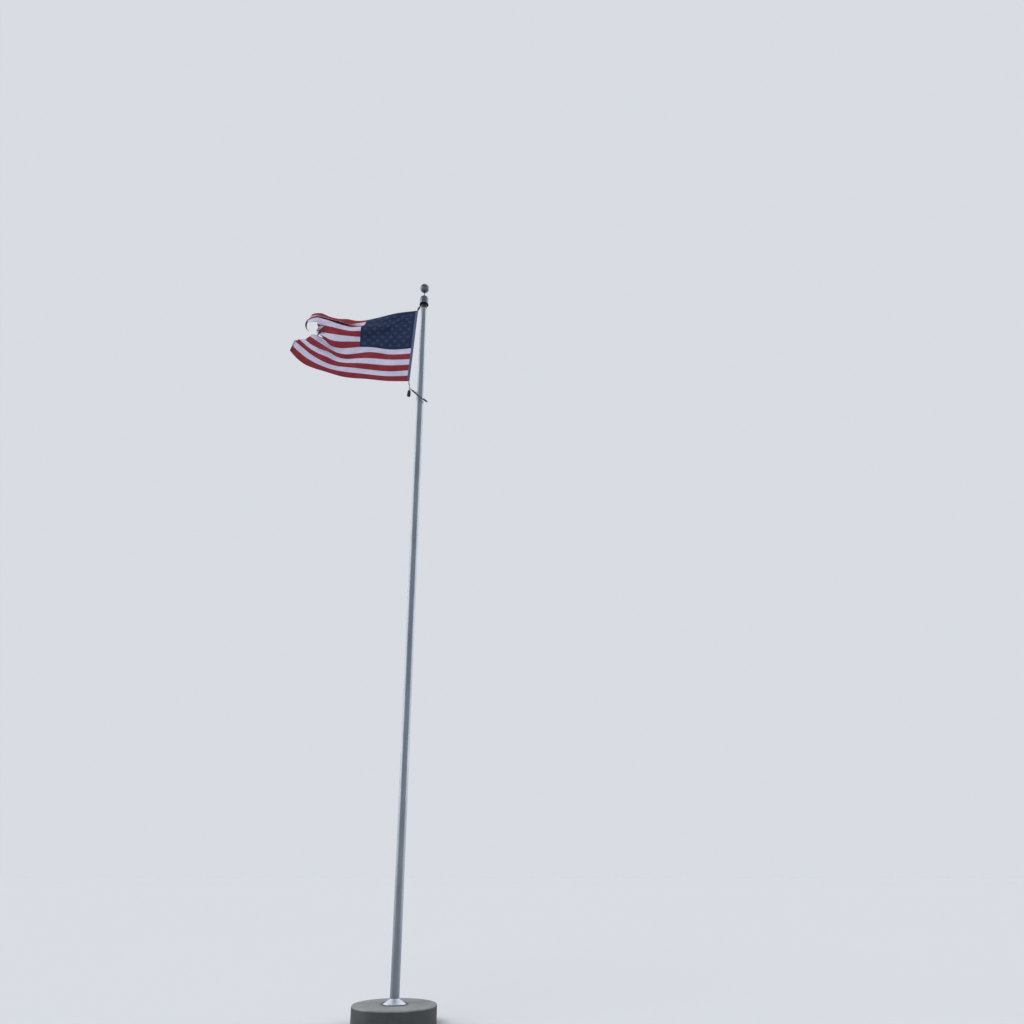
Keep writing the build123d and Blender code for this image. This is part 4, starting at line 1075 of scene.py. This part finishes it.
def loop_place(distance):
    """Point and direction on the loop in its own plane, from where its lower side starts."""
    angle = -math.pi / 2 - spread
    if distance <= side_length:
        onward = Vector((math.cos(spread), -math.sin(spread), 0))
        out = Vector((math.cos(angle), math.sin(angle), 0))
        return narrow_centre + out * LOOP_NARROW + onward * distance, onward
    angle += min(distance - side_length, arc_length) / LOOP_WIDE
    out = Vector((math.cos(angle), math.sin(angle), 0))
    onward = Vector((-out.y, out.x, 0))
    past_bend = max(0.0, distance - side_length - arc_length)
    return wide_centre + out * LOOP_WIDE + onward * past_bend, onward


loop_cable = bent_wire(
    LOOP_CABLE,
    *loop_place(0.0),
    [
        side_length,
        (wide_centre, (0, 0, 1), 180 + 2 * math.degrees(spread)),
        side_length,
        (narrow_centre, (0, 0, 1), 180 - 2 * math.degrees(spread)),
    ],
    closed=True,
)
stand(loop_cable, loop_origin, loop_up, loop_across)
dress(loop_cable, "loop_cable", "coated_cable", "retainer_cable")

# Rollers: one barrel bead with a dished bore at each end, copied along the cable
bead = turned(
    [
        (0.0032, 0.0025), (0.0040, 0.0), (0.0064, 0.0), (0.0076, 0.0010), (0.0080, 0.0040), (0.0081, 0.0110),
        (0.0080, 0.0180), (0.0076, 0.0210), (0.0064, 0.0220), (0.0040, 0.0220), (0.0032, 0.0195),
    ],
    20,
)
roller_run = 2 * side_length + arc_length - 2 * ROLLER_FREE_END
roller_count = int(roller_run // ROLLER_PITCH)
beads = []
for number in range(roller_count):
    middle, onward = loop_place(ROLLER_FREE_END + (number + 0.5) * roller_run / roller_count)
    copy = copy_of(bead)
    stand(copy, middle - onward * ROLLER_LENGTH / 2, onward, (0, 0, 1))
    beads.append(copy)
bpy.data.objects.remove(bead)
rollers = stand(join(*beads), loop_origin, loop_up, loop_across)
dress(rollers, "loop_rollers", "black_vinyl", "retainer_rollers")

# Halyard drop: it stretches between truck and flag, so it rides neither

drop_low, drop_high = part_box("halyard_drop")
drop_x, drop_y = (drop_low.x + drop_high.x) / 2, (drop_low.y + drop_high.y) / 2
drop_line = bent_wire(0.002, (drop_x, drop_y, drop_low.z), (0, 0, 1), [(drop_high.z - drop_low.z) / 2] * 2)
drop_line.name = drop_line.data.name = "halyard_line"
drop_line.data.materials.append(coated_cable)
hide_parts("halyard_drop")
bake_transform(drop_line)

# Floor, light, camera

WORLD_LIGHT = 0.35
FLOOR_COLOUR = "#CCD0D6"
FLOOR_SIDE = 900
# The floor lies just under the pier, so that no two faces share a plane
FLOOR_LEVEL = -0.001
# The low lamps' discs reach below the horizon, so they light the floor a little more than their
# centres would
LOW_DISC_GAIN = 1.04
# Lamps: bearing round the pole from the camera's side, height above the horizon, width of the
# soft disc, all in degrees, and light given. The two at the sides, a little behind the pole, give
# its tube the bright rims. The front one is hidden from reflections, where it would be a third streak
LAMPS = {"lamp_left": (-98, 15, 70, 2.3), "lamp_right": (114, 15, 70, 2.0), "lamp_front": (-35, 55, 40, 1.5)}

floor_light = WORLD_LIGHT
for name, (bearing, height, disc, strength) in LAMPS.items():
    lamp = bpy.data.lights.new(name, "SUN")
    lamp.energy, lamp.angle = strength, math.radians(disc)
    holder = bpy.data.objects.new(name, lamp)
    bpy.context.scene.collection.objects.link(holder)
    bearing, height = math.radians(bearing), math.radians(height)
    level = math.cos(height)
    towards = Vector((math.sin(bearing) * level, -math.cos(bearing) * level, math.sin(height)))
    holder.rotation_euler = towards.to_track_quat("Z", "Y").to_euler()
    holder.visible_glossy = name != "lamp_front"
    floor_light += strength * math.sin(height) / math.pi

deselect()
bpy.ops.mesh.primitive_plane_add(size=FLOOR_SIDE, location=(0, 0, FLOOR_LEVEL))
floor = bpy.context.active_object
floor.name = "studio_floor"
floor_paint, _, paint_shader = new_material("matt_floor_paint")
paint_shader.inputs["Base Color"].default_value = linear(FLOOR_COLOUR)
paint_shader.inputs["Specular IOR Level"].default_value = 0.0
paint_shader.inputs["Roughness"].default_value = 0.95
floor.data.materials.append(floor_paint)

# What is seen behind the pole is as bright as the lit floor; what lights it is plain and even
world = bpy.data.worlds.new("pale_studio")
world.use_nodes = True
sky = world.node_tree
rays = add_node(sky, "ShaderNodeLightPath").outputs
seen_at = add_node(
    sky, "ShaderNodeMath", {"operation": "MAXIMUM"}, {0: rays["Is Camera Ray"], 1: rays["Is Glossy Ray"]}
)
seen_through = add_node(
    sky, "ShaderNodeMath", {"operation": "MAXIMUM"}, {0: seen_at.outputs[0], 1: rays["Is Transmission Ray"]}
)
even_light = sky.nodes["Background"]
even_light.inputs["Color"].default_value = (1, 1, 1, 1)
even_light.inputs["Strength"].default_value = WORLD_LIGHT
backdrop = add_node(
    sky, "ShaderNodeBackground", {}, {"Color": linear(FLOOR_COLOUR), "Strength": floor_light * LOW_DISC_GAIN}
)
shown = add_node(
    sky,
    "ShaderNodeMixShader",
    {},
    {0: seen_through.outputs[0], 1: even_light.outputs[0], 2: backdrop.outputs[0]},
)
sky.links.new(shown.outputs[0], sky.nodes["World Output"].inputs["Surface"])
bpy.context.scene.world = world

lens = bpy.data.cameras.new("photo_camera")
lens.sensor_width = SENSOR_MM
lens.lens = SENSOR_MM * CAMERA_FOCAL_PIXELS / PHOTO_SIDE_PIXELS
lens.shift_y = PRINCIPAL_POINT_DOWN_PIXELS / PHOTO_SIDE_PIXELS
lens.clip_end = 500
camera = bpy.data.objects.new("photo_camera", lens)
bpy.context.scene.collection.objects.link(camera)
camera.location = camera_at
camera.rotation_euler = (math.radians(90 + CAMERA_PITCH), 0, 0)
bpy.context.scene.camera = camera
bpy.context.scene.view_settings.view_transform = "Standard"
